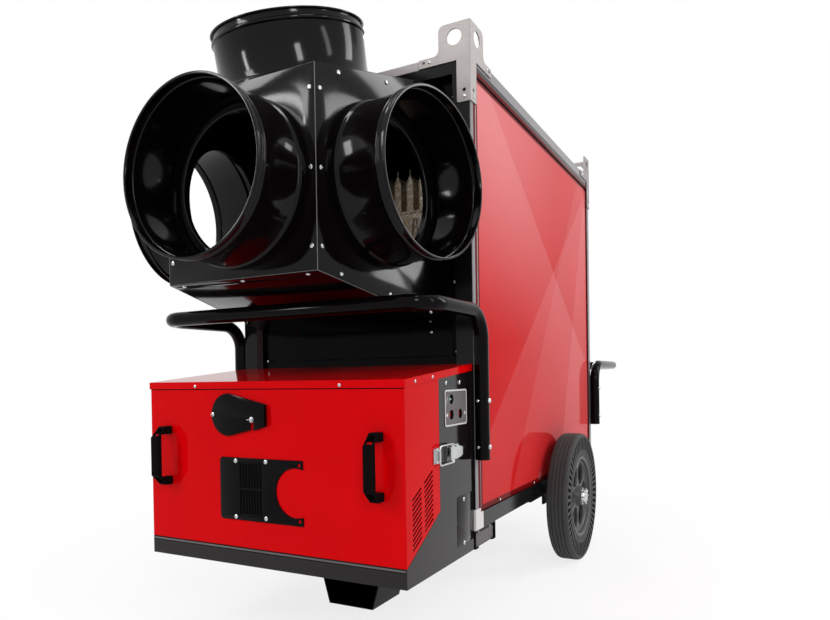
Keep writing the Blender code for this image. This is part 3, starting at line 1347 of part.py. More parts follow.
def make_burner():
    """The burner: a housing cast with its blast tube, the impeller in it, and the motor."""
    centre = (0, -BURNER_REACH, FIRE_HEIGHT)
    half = BURNER_WIDTH / 2
    wall = BURNER_WALL
    housing = rod_mesh("burner_housing", BURNER_RADIUS, BURNER_WIDTH)
    housing = add_part("burner_housing", housing, "cast", centre, AXIS_SIDEWAYS)
    flange = FRONT_PANEL - FIT_GAP
    wide = BLAST_RADIUS + BLAST_FLANGE
    start = -BURNER_REACH + BURNER_RADIUS * BLAST_ROOT_SHARE
    blast = profile_mesh("blast_tube", [
        (0, BLAST_END), (BLAST_RADIUS, BLAST_END), (BLAST_RADIUS, flange), (wide, flange),
        (wide, flange - BLAST_FLANGE_PLATE), (BLAST_RADIUS, flange - BLAST_FLANGE_PLATE),
        (BLAST_RADIUS, start), (0, start),
    ], False)
    blast = add_cutter("blast_tube", blast, (0, 0, FIRE_HEIGHT), FACING_BACK)
    turn(blast, ROUND_STEPS)
    unite(housing, blast)
    scroll = rod_mesh("scroll", BURNER_RADIUS - wall, BURNER_WIDTH)
    scroll = add_cutter("scroll", scroll, (wall, -BURNER_REACH, FIRE_HEIGHT), AXIS_SIDEWAYS)
    subtract(housing, scroll)
    eye = rod_mesh("shaft_hole", BURNER_SHAFT + FIT_GAP, BURNER_WIDTH * 2)
    subtract(housing, add_cutter("shaft_hole", eye, centre, AXIS_SIDEWAYS))
    length = BLAST_END + BURNER_REACH + CUT_OVERRUN
    outlet = rod_mesh("burner_outlet", BLAST_RADIUS - BLAST_WALL, length)
    middle = (0, BLAST_END + CUT_OVERRUN - length / 2, FIRE_HEIGHT)
    subtract(housing, add_cutter("burner_outlet", outlet, middle, FACING_BACK))
    rear = -half + wall + IMPELLER_GAP
    lead = half - IMPELLER_GAP
    hub = IMPELLER_HUB
    shaft = BURNER_SHAFT
    impeller = turned("burner_impeller", [
        (0, lead), (hub, lead), (hub, rear + IMPELLER_BACKPLATE),
        (IMPELLER_RADIUS, rear + IMPELLER_BACKPLATE), (IMPELLER_RADIUS, rear), (hub, rear),
        (shaft, rear), (shaft, -half), (0, -half),
    ], "cast", centre, AXIS_SIDEWAYS, closed=False)
    blades = bmesh.new()
    for blade in range(IMPELLER_BLADES):
        corners = add_block(blades, (IMPELLER_RADIUS - IMPELLER_RIM * 2, -IMPELLER_BLADE / 2, rear),
                            (IMPELLER_RADIUS, IMPELLER_BLADE / 2, lead))
        spin = Matrix.Rotation(math.tau * blade / IMPELLER_BLADES, 3, "Z")
        bmesh.ops.rotate(blades, verts=corners, matrix=spin)
    blades = add_cutter("impeller_blades", finished(blades, "impeller_blades"), centre, AXIS_SIDEWAYS)
    unite(impeller, blades)
    back = -half - FIT_GAP
    chamfer = MOTOR_CHAMFER
    turned("burner_motor", [
        (0, back), (MOTOR_RADIUS, back), (MOTOR_RADIUS, back - MOTOR_LENGTH + chamfer),
        (MOTOR_RADIUS - chamfer, back - MOTOR_LENGTH), (0, back - MOTOR_LENGTH),
    ], "cast", centre, AXIS_SIDEWAYS, closed=False, steps=SMALL_STEPS * 2)


def make_main_fan():
    """The axial fan, its shroud with the motor arm, its motor, the guard and the cable gland."""
    inside = REAR_PANEL - PANEL_THICKNESS - FIT_GAP
    mouth = inside - SHROUD_LENGTH
    centre = (0, 0, FAN_HEIGHT)
    wide = FAN_BORE + SHROUD_WALL
    shroud = turned("fan_shroud", [
        (wide, inside), (wide, mouth), (FAN_BORE, mouth), (FAN_BORE, inside),
    ], "grey", centre, FACING_BACK)
    arm = block_mesh("motor_arm", [
        ((-ARM_WIDTH / 2, mouth - ARM_PLATE / 2, -FAN_BORE - SHROUD_WALL / 2),
         (ARM_WIDTH / 2, mouth + ARM_PLATE / 2, FAN_BORE + SHROUD_WALL / 2))
    ])
    unite(shroud, add_cutter("motor_arm", arm, centre))
    bore = rod_mesh("arm_bore", FAN_SHAFT + FIT_GAP, ARM_PLATE * 2)
    subtract(shroud, add_cutter("arm_bore", bore, (0, mouth, FAN_HEIGHT), FACING_BACK))
    fan_y = inside - FAN_SETBACK
    arm_front = mouth - ARM_PLATE / 2
    hub_low = -FAN_HUB_LENGTH
    fan = turned("axial_fan", [
        (0, 0), (FAN_HUB_RADIUS, 0), (FAN_HUB_RADIUS, hub_low), (FAN_SHAFT, hub_low),
        (FAN_SHAFT, arm_front - fan_y), (0, arm_front - fan_y),
    ], "cast", (0, fan_y, FAN_HEIGHT), FACING_BACK, closed=False)
    shape = bmesh.new()
    for blade in range(FAN_BLADES):
        root = FAN_HUB_RADIUS * BLADE_ROOT_SHARE
        corners = add_block(
            shape, (root, -FAN_BLADE_CHORD / 2, -FAN_BLADE_THICKNESS / 2),
            (FAN_BORE - FAN_TIP_GAP, FAN_BLADE_CHORD / 2, FAN_BLADE_THICKNESS / 2))
        for corner in corners:
            if corner.co.x < FAN_HUB_RADIUS:
                corner.co.y *= BLADE_TAPER_SHARE
        bmesh.ops.rotate(shape, verts=corners, matrix=Matrix.Rotation(FAN_PITCH, 3, "X"))
        bmesh.ops.translate(shape, verts=corners, vec=(0, 0, -FAN_HUB_LENGTH / 2))
        spin = Matrix.Rotation(math.tau * blade / FAN_BLADES, 3, "Z")
        bmesh.ops.rotate(shape, verts=corners, matrix=spin)
    unite(fan, add_cutter("fan_blades", finished(shape, "fan_blades"), fan.location, FACING_BACK))
    seat = arm_front - FIT_GAP
    chamfer = MOTOR_CHAMFER
    turned("fan_motor", [
        (0, seat), (FAN_MOTOR_RADIUS, seat), (FAN_MOTOR_RADIUS, seat - FAN_MOTOR_LENGTH + chamfer),
        (FAN_MOTOR_RADIUS - chamfer, seat - FAN_MOTOR_LENGTH), (0, seat - FAN_MOTOR_LENGTH),
    ], "cast", centre, FACING_BACK, closed=False, steps=SMALL_STEPS * 2)
    make_guard()
    outside = REAR_PANEL + FIT_GAP
    turned("cable_gland", [
        (GLAND_RADIUS, outside + GLAND_LENGTH), (GLAND_RADIUS, outside + GLAND_NUT_LENGTH),
        (GLAND_NUT, outside + GLAND_NUT_LENGTH), (GLAND_NUT, outside),
        (GLAND_RADIUS, outside), (GLAND_RADIUS, inside - GLAND_NUT_LENGTH),
        (GLAND_BORE, inside - GLAND_NUT_LENGTH), (GLAND_BORE, outside + GLAND_LENGTH),
    ], "plastic", (GLAND_X, 0, GLAND_HEIGHT), FACING_BACK, steps=SMALL_STEPS)


def make_guard():
    """The wire guard: rings on a star of bars that reaches out to the rear panel."""
    reach = GUARD_RINGS[0] + GUARD_MARGIN
    gap = math.pi / GUARD_ARMS
    notch = GUARD_WIRE / math.sin(gap)
    lean = math.asin(GUARD_WIRE / reach)
    star = []
    for arm in range(GUARD_ARMS):
        middle = gap * 2 * (arm + GUARD_TURN_SHARE)
        for radius, angle in ((reach, middle - lean), (reach, middle + lean), (notch, middle + gap)):
            star.append((radius * math.cos(angle), radius * math.sin(angle)))
    seat = REAR_PANEL + FIT_GAP + GUARD_WIRE
    guard = plate("fan_guard", [star], GUARD_WIRE * 2, "zinc", (0, seat, FAN_HEIGHT), FACING_BACK)
    for radius in GUARD_RINGS:
        profile = circle((radius, GUARD_WIRE * GUARD_LAP_SHARE), GUARD_WIRE, GUARD_SIDES)
        ring = profile_mesh("guard_ring", profile[::-1], True)
        ring = add_cutter("guard_ring", ring, (0, seat, FAN_HEIGHT), FACING_BACK)
        turn(ring, GUARD_STEPS)
        unite(guard, ring)


def build():
    """Build the whole machine."""
    make_frame()
    make_panels()
    make_lugs()
    make_plenum()
    make_collars()
    make_tube_handles()
    make_burner_sides()
    make_hood()
    make_intake_plate()
    make_sight_flap()
    make_flap_pivot()
    make_hood_handles()
    make_controls()
    make_latches()
    make_front_foot()
    make_wheels()
    make_exchanger()
    make_burner()
    make_main_fan()


build()
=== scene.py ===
"""Looks of a mobile heat generator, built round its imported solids.

Lengths are in metres. A point written with spot() counts its second number from the front plane
of the cabinet, as a fitter would measure it.
"""

import logging
import math
from dataclasses import dataclass
from enum import Enum
from functools import cache
from typing import Iterable, Optional, Sequence

import bmesh
import bpy
from mathutils import Matrix, Vector


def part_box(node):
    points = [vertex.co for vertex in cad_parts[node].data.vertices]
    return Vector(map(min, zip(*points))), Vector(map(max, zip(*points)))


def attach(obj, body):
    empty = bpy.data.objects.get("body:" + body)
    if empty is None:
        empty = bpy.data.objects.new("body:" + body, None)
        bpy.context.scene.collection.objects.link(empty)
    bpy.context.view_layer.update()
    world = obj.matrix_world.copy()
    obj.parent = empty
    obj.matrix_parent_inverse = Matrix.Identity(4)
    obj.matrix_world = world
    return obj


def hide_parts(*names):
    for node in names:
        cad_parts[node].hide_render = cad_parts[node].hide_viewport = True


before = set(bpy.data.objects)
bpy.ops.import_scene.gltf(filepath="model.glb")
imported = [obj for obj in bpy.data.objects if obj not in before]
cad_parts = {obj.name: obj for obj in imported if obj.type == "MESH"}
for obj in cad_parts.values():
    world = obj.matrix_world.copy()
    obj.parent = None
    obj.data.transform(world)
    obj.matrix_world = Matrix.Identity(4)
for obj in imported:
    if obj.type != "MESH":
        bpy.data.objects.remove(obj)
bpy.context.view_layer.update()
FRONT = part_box("cabinet_frame")[0].y
LOG = logging.getLogger("heater")
Points = list[tuple[float, float]]
Outline = Sequence[tuple[float, float]]
# A place, and the way that what stands there faces.
Stand = tuple[Vector, Vector]
Colour = tuple[float, float, float]

WIDTH = 0.697
LENGTH = 1.197
BURNER_HALF = 0.3424
RIGHT, BACK, UP = Vector((1, 0, 0)), Vector((0, 1, 0)), Vector((0, 0, 1))
AHEAD = Vector((0, -1, 0))


def spot(x: float, y: float, z: float) -> Vector:
    """Return a world point whose y is counted from the cabinet's front plane."""
    return Vector((x, y + FRONT, z))


def laid(origin: Vector, across: Vector, up: Vector) -> Matrix:
    """Return the placement of a flat outline.

    Args:
        origin: where the outline's zero lies.
        across: the direction of its first number.
        up: the direction of its second number.

    Returns:
        The matrix, whose third axis is the outline's front.
    """
    across, up = across.normalized(), up.normalized()
    rows = Matrix((across, up, across.cross(up))).transposed().to_4x4()
    return Matrix.Translation(origin) @ rows


def aimed(origin: Vector, direction: Vector) -> Matrix:
    """Return a placement whose third axis points along a direction."""
    turn = direction.to_track_quat("Z", "Y").to_matrix().to_4x4()
    return Matrix.Translation(origin) @ turn


def facade(y: float) -> Matrix:
    """Return the placement of an outline that faces the front, whose first number is x."""
    return laid(spot(0, y, 0), RIGHT, UP)


def flank(x: float) -> Matrix:
    """Return the placement of an outline that faces the right, whose first number is y."""
    return laid(spot(x, 0, 0), BACK, UP)


def beside(sign: int, x: float, y: float, z: float) -> Stand:
    """Return a place on one of the sides, and the way out of that side.

    Args:
        sign: 1 for the right side, -1 for the left.
        x: the distance from the middle.
        y: the distance from the cabinet's front plane.
        z: the height.

    Returns:
        The place and the direction.
    """
    return spot(sign * x, y, z), Vector((sign, 0, 0))


def arc(centre: tuple[float, float], radius: float, start: float, end: float,
        steps: int) -> Points:
    """Return points on an arc.

    Args:
        centre: the arc's centre.
        radius: its radius.
        start: the first angle in degrees.
        end: the last angle in degrees.
        steps: how many steps it is cut in.

    Returns:
        The points, both ends included.
    """
    angles = [math.radians(start + (end - start) * step / steps) for step in range(steps + 1)]
    return [(centre[0] + radius * math.cos(a), centre[1] + radius * math.sin(a)) for a in angles]


def ring(centre: tuple[float, float], radius: float, steps: int = 48) -> Points:
    """Return a circle's points."""
    return arc(centre, radius, 0, 360, steps)[:-1]


def oblong(left: float, low: float, right: float, high: float) -> Points:
    """Return a rectangle's points."""
    return [(left, low), (right, low), (right, high), (left, high)]


def rounded(left: float, low: float, right: float, high: float, radius: float) -> Points:
    """Return a rectangle with round corners.

    Args:
        left: its left side.
        low: its lower side.
        right: its right side.
        high: its upper side.
        radius: the corners' radius.

    Returns:
        The outline's points.
    """
    outline = []
    for x, y, start in ((right - radius, low + radius, -90), (right - radius, high - radius, 0),
                        (left + radius, high - radius, 90), (left + radius, low + radius, 180)):
        outline += arc((x, y), radius, start, start + 90, 6)
    return outline


def bent(corners: Sequence[Vector], radius: float, steps: int = 10) -> list[Vector]:
    """Return a path through corners, each rounded to a radius.

    Args:
        corners: the straight path's corners and ends.
        radius: the bend's radius.
        steps: how many steps a bend is cut in.

    Returns:
        The path's points.
    """
    path = [Vector(corners[0])]
    for before, corner, after in zip(corners, corners[1:], corners[2:]):
        come, leave = (before - corner).normalized(), (after - corner).normalized()
        half = come.angle(leave) / 2
        run = radius / math.tan(half)
        centre = corner + (come + leave).normalized() * (radius / math.sin(half))
        first, last = corner + come * run - centre, corner + leave * run - centre
        for step in range(steps + 1):
            path.append(centre + first.normalized().slerp(last.normalized(), step / steps) * radius)
    path.append(Vector(corners[-1]))
    return path


class Shape:
    """Gathers the faces of one piece in world space and turns them into an object."""

    def __init__(self) -> None:
        """Start with no faces."""
        self.mesh = bmesh.new()

    def add(self, mesh: bpy.types.Mesh, at: Matrix = Matrix.Identity(4)) -> "Shape":
        """Add a copy of a mesh.

        Args:
            mesh: the mesh to copy.
            at: where it goes.

        Returns:
            This shape.
        """
        known = len(self.mesh.verts)
        self.mesh.from_mesh(mesh)
        self.mesh.verts.ensure_lookup_table()
        for vert in self.mesh.verts[known:]:
            vert.co = at @ vert.co
        return self

    def lathe(self, profile: Outline, at: Matrix, steps: int = 96, closed: bool = True,
              span: tuple[float, float] = (0, 360)) -> "Shape":
        """Add a turned body, or a sector of one.

        Args:
            profile: radius and height of each point.
            at: the placement whose third axis the body turns about.
            steps: how many steps the turn is cut in.
            closed: whether the profile's last point joins its first.
            span: the first and last angle in degrees.

        Returns:
            This shape.
        """
        whole = span[1] - span[0] == 360
        turns = [math.radians(span[0] + (span[1] - span[0]) * i / steps)
                 for i in range(steps if whole else steps + 1)]
        rows = []
        for radius, height in profile:
            rows.append([self.mesh.verts.new(at @ Vector((
                radius * math.cos(turn), radius * math.sin(turn), height)))
                for turn in (turns if radius > 1e-6 else turns[:1])])
        pairs = list(zip(rows, rows[1:]))
        if closed:
            pairs.append((rows[-1], rows[0]))
        for low, high in pairs:
            for i in range(steps):
                j = (i + 1) % len(turns)
                corners = [low[i % len(low)], low[j % len(low)], high[j % len(high)],
                           high[i % len(high)]]
                corners = list(dict.fromkeys(corners))
                if len(corners) > 2:
                    self.mesh.faces.new(corners)
        if not whole:
            self.mesh.faces.new([row[0] for row in rows])
            self.mesh.faces.new([row[-1] for row in reversed(rows)])
        return self

    def pin(self, radius: float, low: float, high: float, at: Matrix, steps: int) -> "Shape":
        """Add a solid round pin.

        Args:
            radius: its radius.
            low: where it starts on the placement's third axis.
            high: where it ends.
            at: the placement.
            steps: how many sides it has.

        Returns:
            This shape.
        """
        return self.lathe([(0, low), (radius, low), (radius, high), (0, high)], at, steps,
                          closed=False)

    def sweep(self, path: Sequence[Vector], radius: float, sides: int = 20) -> "Shape":
        """Add a round rod along a path.

        Args:
            path: the rod's centre line.
            radius: its radius.
            sides: how many sides it has.

        Returns:
            This shape.
        """
        ways = [(b - a).normalized() for a, b in zip(path, path[1:])]
        bends = [(a + b).normalized() for a, b in zip(ways, ways[1:])]
        tangents = [ways[0], *bends, ways[-1]]
        side = tangents[0].orthogonal().normalized()
        rings = []
        for point, tangent in zip(path, tangents):
            side = (side - tangent * side.dot(tangent)).normalized()
            other = tangent.cross(side)
            rings.append([self.mesh.verts.new(
                point + (side * math.cos(math.tau * i / sides)
                         + other * math.sin(math.tau * i / sides)) * radius)
                for i in range(sides)])
        for low, high in zip(rings, rings[1:]):
            for i in range(sides):
                j = (i + 1) % sides
                self.mesh.faces.new((low[i], low[j], high[j], high[i]))
        self.mesh.faces.new(rings[0][::-1])
        self.mesh.faces.new(rings[-1])
        return self

    def slab(self, outlines: Sequence[Outline], thickness: float, at: Matrix,
             edge: float = 0.0003) -> "Shape":
        """Add a plate with rounded edges, whose front lies in the placement's plane.

        Args:
            outlines: the outer outline, then its holes.
            thickness: the plate's thickness, which goes back from the plane.
            at: the outline's placement.
            edge: the radius of its edges.

        Returns:
            This shape.
        """
        curve = bpy.data.curves.new("outline", "CURVE")
        curve.dimensions = "2D"
        curve.fill_mode = "BOTH"
        curve.extrude = thickness / 2 - edge
        curve.bevel_depth = edge
        curve.bevel_resolution = 1
        curve.offset = -edge
        for outline in outlines:
            spline = curve.splines.new("POLY")
            spline.points.add(len(outline) - 1)
            for point, (across, up) in zip(spline.points, outline):
                point.co = (across, up, 0, 1)
            spline.use_cyclic_u = True
        guide = bpy.data.objects.new("outline", curve)
        mesh = bpy.data.meshes.new_from_object(guide)
        self.add(mesh, at @ Matrix.Translation((0, 0, -thickness / 2)))
        bpy.data.objects.remove(guide)
        bpy.data.curves.remove(curve)
        bpy.data.meshes.remove(mesh)
        return self

    def block(self, low: Sequence[float], high: Sequence[float], edge: float = 0.0,
              at: Matrix = Matrix.Identity(4)) -> "Shape":
        """Add a box with rounded edges.

        Args:
            low: its lowest corner.
            high: its highest corner.
            edge: the radius of its edges.
            at: where it goes.

        Returns:
            This shape.
        """
        low, high = Vector(low), Vector(high)
        made = bmesh.new()
        bmesh.ops.create_cube(made, size=1)
        for vert in made.verts:
            vert.co = Vector(low[k] + (high[k] - low[k]) * (vert.co[k] + 0.5) for k in range(3))
        if edge:
            bmesh.ops.bevel(made, geom=made.edges[:], offset=edge, segments=2, profile=0.6,
                            affect="EDGES")
        mesh = bpy.data.meshes.new("block")
        made.to_mesh(mesh)
        made.free()
        self.add(mesh, at)
        bpy.data.meshes.remove(mesh)
        return self

    def mirrored(self) -> "Shape":
        """Add the same faces on the machine's other side, and return this shape."""
        twin = bmesh.ops.duplicate(self.mesh, geom=self.mesh.verts[:] + self.mesh.faces[:])["geom"]
        for item in twin:
            if isinstance(item, bmesh.types.BMVert):
                item.co.x = -item.co.x
        bmesh.ops.reverse_faces(self.mesh, faces=[i for i in twin
                                                  if isinstance(i, bmesh.types.BMFace)])
        return self

    def baked(self) -> bpy.types.Mesh:
        """Return the faces as a mesh, facing out, with the points that coincide made one."""
        bmesh.ops.remove_doubles(self.mesh, verts=self.mesh.verts, dist=1e-6)
        bmesh.ops.recalc_face_normals(self.mesh, faces=self.mesh.faces)
        mesh = bpy.data.meshes.new("shape")
        self.mesh.to_mesh(mesh)
        self.mesh.free()
        return mesh

    def piece(self, name: str, finish: "Finish", body: str, slot: str,
              replaces: Iterable[str] = (), angle: float = 32) -> bpy.types.Object:
        """Turn the faces into an object that rides on a body.

        Args:
            name: the piece's name.
            finish: what it is made of.
            body: the CAD body that it moves with.
            slot: the record's material slot; not used.
            replaces: the CAD nodes that it stands for.
            angle: edges sharper than this many degrees stay sharp.

        Returns:
            The object.
        """
        mesh = self.baked()
        mesh.name = name
        mesh.shade_smooth()
        mesh.set_sharp_from_angle(angle=math.radians(angle))
        mesh.materials.append(finish.material())
        made = bpy.data.objects.new(name, mesh)
        bpy.context.scene.collection.objects.link(made)
        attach(made, body)
        if replaces:
            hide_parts(*replaces)
        LOG.info("%s: %d faces on %s", name, len(mesh.polygons), body)
        return made


def carved(solid: bpy.types.Mesh, cutter: bpy.types.Mesh) -> bpy.types.Mesh:
    """Return a mesh with another cut out of it."""
    body = bpy.data.objects.new("solid", solid)
    tool = bpy.data.objects.new("cutter", cutter)
    for item in (body, tool):
        bpy.context.scene.collection.objects.link(item)
    cut = body.modifiers.new("cut", "BOOLEAN")
    cut.operation = "DIFFERENCE"
    cut.object = tool
    graph = bpy.context.evaluated_depsgraph_get()
    mesh = bpy.data.meshes.new_from_object(body.evaluated_get(graph))
    bpy.data.objects.remove(body)
    bpy.data.objects.remove(tool)
    return mesh


class Head(Enum):
    """The kinds of screw head, with their radius and height."""

    PAN = (0.0050, 0.0030)
    SMALL = (0.0036, 0.0022)
    DOME = (0.0062, 0.0048)

    @cache
    def mesh(self) -> bpy.types.Mesh:
        """Return the head, standing on its own plane along the third axis."""
        radius, height = self.value
        dome = [(0, 0), (radius, 0), (radius, height * 0.3), (radius * 0.93, height * 0.62),
                (radius * 0.7, height * 0.88), (radius * 0.4, height), (0, height)]
        head = Shape().lathe(dome, Matrix.Identity(4), 24, closed=False).baked()
        if self is Head.DOME:
            return head
        long, arm = radius * 0.62, radius * 0.16
        for x, y in ((long, arm), (arm, long)):
            recess = Shape().block((-x, -y, height * 0.45), (x, y, height * 2))
            head = carved(head, recess.baked())
        return head


def screws(shape: Shape, head: Head, places: Iterable[Stand]) -> Shape:
    """Add screw heads, each turned a little further than the last.

    Args:
        shape: the shape that takes them.
        head: their kind.
        places: where each stands, and the direction that it faces.

    Returns:
        The shape.
    """
    for number, (where, facing) in enumerate(places):
        spin = Matrix.Rotation(math.radians(37 * number + 12), 4, "Z")
        shape.add(head.mesh(), aimed(where, facing) @ spin)
    return shape


class Tree:
    """A node tree with short calls to add and join nodes."""

    def __init__(self, tree: bpy.types.NodeTree) -> None:
        """Keep the tree."""
        self.tree = tree

    def node(self, kind: str, settings: Optional[dict] = None,
             **inputs: object) -> bpy.types.Node:
        """Add a node.

        Args:
            kind: the node's type, without its prefix.
            settings: properties of the node itself.
            **inputs: values or sockets for its inputs, with _ for a space.

        Returns:
            The node.
        """
        made = self.tree.nodes.new("ShaderNode" + kind)
        made.location = (len(self.tree.nodes) * 180, -(len(self.tree.nodes) % 4) * 160)
        for key, value in (settings or {}).items():
            setattr(made, key, value)
        for key, value in inputs.items():
            self.feed(made.inputs[key.replace("_", " ")], value)
        return made

    def feed(self, socket: bpy.types.NodeSocket, value: object) -> None:
        """Link a socket to another, or set its value."""
        if isinstance(value, bpy.types.NodeSocket):
            self.tree.links.new(value, socket)
        elif socket.type == "RGBA" and len(value) == 3:
            socket.default_value = (*value, 1)
        else:
            socket.default_value = value

    def where(self) -> bpy.types.NodeSocket:
        """Return the place on the object, in its own axes."""
        return self.node("TexCoord").outputs["Object"]

    def math(self, operation: str, *values: object) -> bpy.types.NodeSocket:
        """Add a math node.

        Args:
            operation: what it does.
            *values: its numbers or sockets.

        Returns:
            Its output.
        """
        made = self.node("Math", {"operation": operation})
        for socket, value in zip(made.inputs, values):
            self.feed(socket, value)
        return made.outputs[0]

    def blend(self, factor: object, first: object, second: object) -> bpy.types.NodeSocket:
        """Mix two colours.

        Args:
            factor: the second colour's share.
            first: a colour or a socket.
            second: a colour or a socket.

        Returns:
            The mixed colour.
        """
        made = self.node("Mix", {"data_type": "RGBA"})
        self.feed(made.inputs[0], factor)
        self.feed(made.inputs[6], first)
        self.feed(made.inputs[7], second)
        return made.outputs[2]

    def span(self, value: object, low: float, high: float, start: float = 0.0,
             end: float = 1.0) -> bpy.types.NodeSocket:
        """Spread a value from one range over another, with soft ends.

        Args:
            value: the socket to read.
            low: where the range starts.
            high: where it ends.
            start: what the start becomes.
            end: what the end becomes.

        Returns:
            The new value.
        """
        made = self.node("MapRange", {"interpolation_type": "SMOOTHSTEP"})
        for socket, part in zip(made.inputs, (value, low, high, start, end)):
            self.feed(socket, part)
        return made.outputs[0]


class Effect:
    """The shader node groups, each built once and shared by the materials."""

    @staticmethod
    def open(name: str, inputs: dict[str, float], outputs: dict[str, str]) -> tuple:
        """Start a group.

        Args:
            name: the group's name.
            inputs: its number sockets and their defaults.
            outputs: its output sockets and their types.

        Returns:
            The tree's helper, its input node's sockets and its output node.
        """
        group = bpy.data.node_groups.new(name, "ShaderNodeTree")
        for key, value in inputs.items():
            socket = group.interface.new_socket(key, in_out="INPUT", socket_type="NodeSocketFloat")
            socket.default_value = value
        for key, kind in outputs.items():
            group.interface.new_socket(key, in_out="OUTPUT", socket_type="NodeSocket" + kind)
        start = group.nodes.new("NodeGroupInput")
        end = group.nodes.new("NodeGroupOutput")
        return Tree(group), start.outputs, end.inputs

    @classmethod
    @cache
    def surface(cls) -> bpy.types.NodeTree:
        """Return the group for a coated or moulded surface: grain, tone, handling and dust."""
        tree, given, out = cls.open(
            "surface", {"Grain": 900, "Cloud": 5, "Dust": 0},
            {"Height": "Float", "Tone": "Float", "Handling": "Float", "Dust": "Float"})
        where = tree.where()
        grain = tree.node("TexNoise", Vector=where, Scale=given["Grain"], Detail=2.0,
                          Roughness=0.45)
        cloud = tree.node("TexNoise", Vector=where, Scale=given["Cloud"], Detail=3.0,
                          Roughness=0.55)
        wipe = tree.node("TexNoise", Vector=where, Scale=23.0, Detail=5.0, Roughness=0.62,
                         Distortion=0.6)
        rise = tree.node("SeparateXYZ", Vector=tree.node("NewGeometry").outputs["Normal"])
        specks = tree.node("TexNoise", Vector=where, Scale=210.0, Detail=6.0, Roughness=0.75)
        level = tree.span(rise.outputs[2], 0.35, 1.0)
        dust = tree.math("MULTIPLY", level, tree.span(specks.outputs[0], 0.42, 0.75))
        tree.feed(out["Height"], grain.outputs[0])
        tree.feed(out["Tone"], tree.span(cloud.outputs[0], 0.25, 0.75))
        tree.feed(out["Handling"], tree.span(wipe.outputs[0], 0.45, 0.8))
        tree.feed(out["Dust"], tree.math("MULTIPLY", dust, given["Dust"]))
        return tree.tree

    @classmethod
    @cache
    def soft_edge(cls) -> bpy.types.NodeTree:
        """Return the group that rounds the light over a sheet's sharp edges."""
        tree, given, out = cls.open("soft_edge", {"Radius": 0.0015}, {"Normal": "Vector"})
        edge = tree.node("Bevel", {"samples": 4}, Radius=given["Radius"])
        tree.feed(out["Normal"], edge.outputs[0])
        return tree.tree

    @classmethod
    @cache
    def brushed(cls) -> bpy.types.NodeTree:
        """Return the group for rolled or brushed metal: long fine lines along one way."""
        tree, given, out = cls.open(
            "brushed", {"Along X": 4, "Along Y": 4, "Along Z": 900},
            {"Height": "Float", "Mask": "Float"})
        parts = tree.node("SeparateXYZ", Vector=tree.where())
        scaled = tree.node("CombineXYZ")
        for axis, key in enumerate(("Along X", "Along Y", "Along Z")):
            tree.feed(scaled.inputs[axis], tree.math("MULTIPLY", parts.outputs[axis], given[key]))
        lines = tree.node("TexNoise", Vector=scaled.outputs[0], Scale=1.0, Detail=4.0,
                          Roughness=0.6)
        tree.feed(out["Height"], lines.outputs[0])
        tree.feed(out["Mask"], tree.span(lines.outputs[0], 0.35, 0.65))
        return tree.tree

    @classmethod
    @cache
    def facets(cls) -> bpy.types.NodeTree:
        """Return the group for broad slanting tone steps on a tall side panel, and for the painted
        shade and reflection along its edges.
        """
        tree, given, out = cls.open("facets", {"Softness": 0.004},
                                    {"Tone": "Float", "Painted Edge Shade": "Float"})
        where = tree.node("SeparateXYZ", Vector=tree.where())
        total: object = 0.0
        for across, up, edge, step in PANEL_FACETS:
            lean = tree.math("ADD", tree.math("MULTIPLY", where.outputs[1], across),
                             tree.math("MULTIPLY", where.outputs[2], up))
            past = tree.math("SUBTRACT", lean, edge)
            share = tree.math("DIVIDE", past, given["Softness"])
            clamp = tree.node("Clamp", Value=share).outputs[0]
            fade = tree.span(past, 0.0, 0.55, 1.0, 0.15)
            total = tree.math("ADD", total, tree.math(
                "MULTIPLY", tree.math("MULTIPLY", clamp, fade), step))
        rise = tree.span(where.outputs[2], 0.62, 1.32, 0.0, 0.52)
        nearer = tree.span(where.outputs[1], -0.5, 0.4, 1.0, 0.35)
        tree.feed(out["Tone"], tree.math("ADD", total, tree.math("MULTIPLY", rise, nearer)))
        # Painted shade and painted reflection of the frame along the recessed panel's front, rear,
        # foot and head edges.
        near = tree.span(where.outputs[1], -0.488, -0.482, 1.0, 0.0)
        far = tree.span(where.outputs[1], 0.618, 0.624)
        foot = tree.span(where.outputs[2], 0.2770, 0.2830, 1.0, 0.0)
        head = tree.span(where.outputs[2], 1.292, 1.297)
        tree.feed(out["Painted Edge Shade"], tree.math("MAXIMUM", tree.math("MAXIMUM", near, far),
                                           tree.math("MAXIMUM", foot, head)))
        return tree.tree

    @classmethod
    @cache
    def heat(cls) -> bpy.types.NodeTree:
        """Return the group for the tint and scale that heat leaves on bare steel."""
        tree, given, out = cls.open("heat", {"Scale": 130}, {"Colour": "Color"})
        patch = tree.node("TexNoise", Vector=tree.where(), Scale=given["Scale"], Detail=5.0,
                          Roughness=0.6, Distortion=0.8)
        ramp = tree.node("ValToRGB", Fac=patch.outputs[0])
        stops = ((0.42, (1.0, 0.97, 0.88)), (0.47, (0.62, 0.34, 0.10)),
                 (0.50, (0.90, 0.74, 0.48)), (0.535, (0.12, 0.045, 0.015)),
                 (0.58, (1.0, 0.95, 0.86)))
        points = ramp.color_ramp.elements
        for number, (place, colour) in enumerate(stops):
            point = points[number] if number < 2 else points.new(place)
            point.position = place
            point.color = (*colour, 1)
        tree.feed(out["Colour"], ramp.outputs[0])
        return tree.tree


# Each step of tone: its slopes along y and z, where it starts, and how much paler it makes.
PANEL_FACETS = (
    (0.62, -0.78, -0.62, 0.10),
    (-0.55, -0.83, -0.86, 0.13),
    (0.93, -0.36, 0.10, 0.09),
    (-0.80, 0.60, 0.38, -0.06),
)
DUST: Colour = (0.42, 0.40, 0.38)


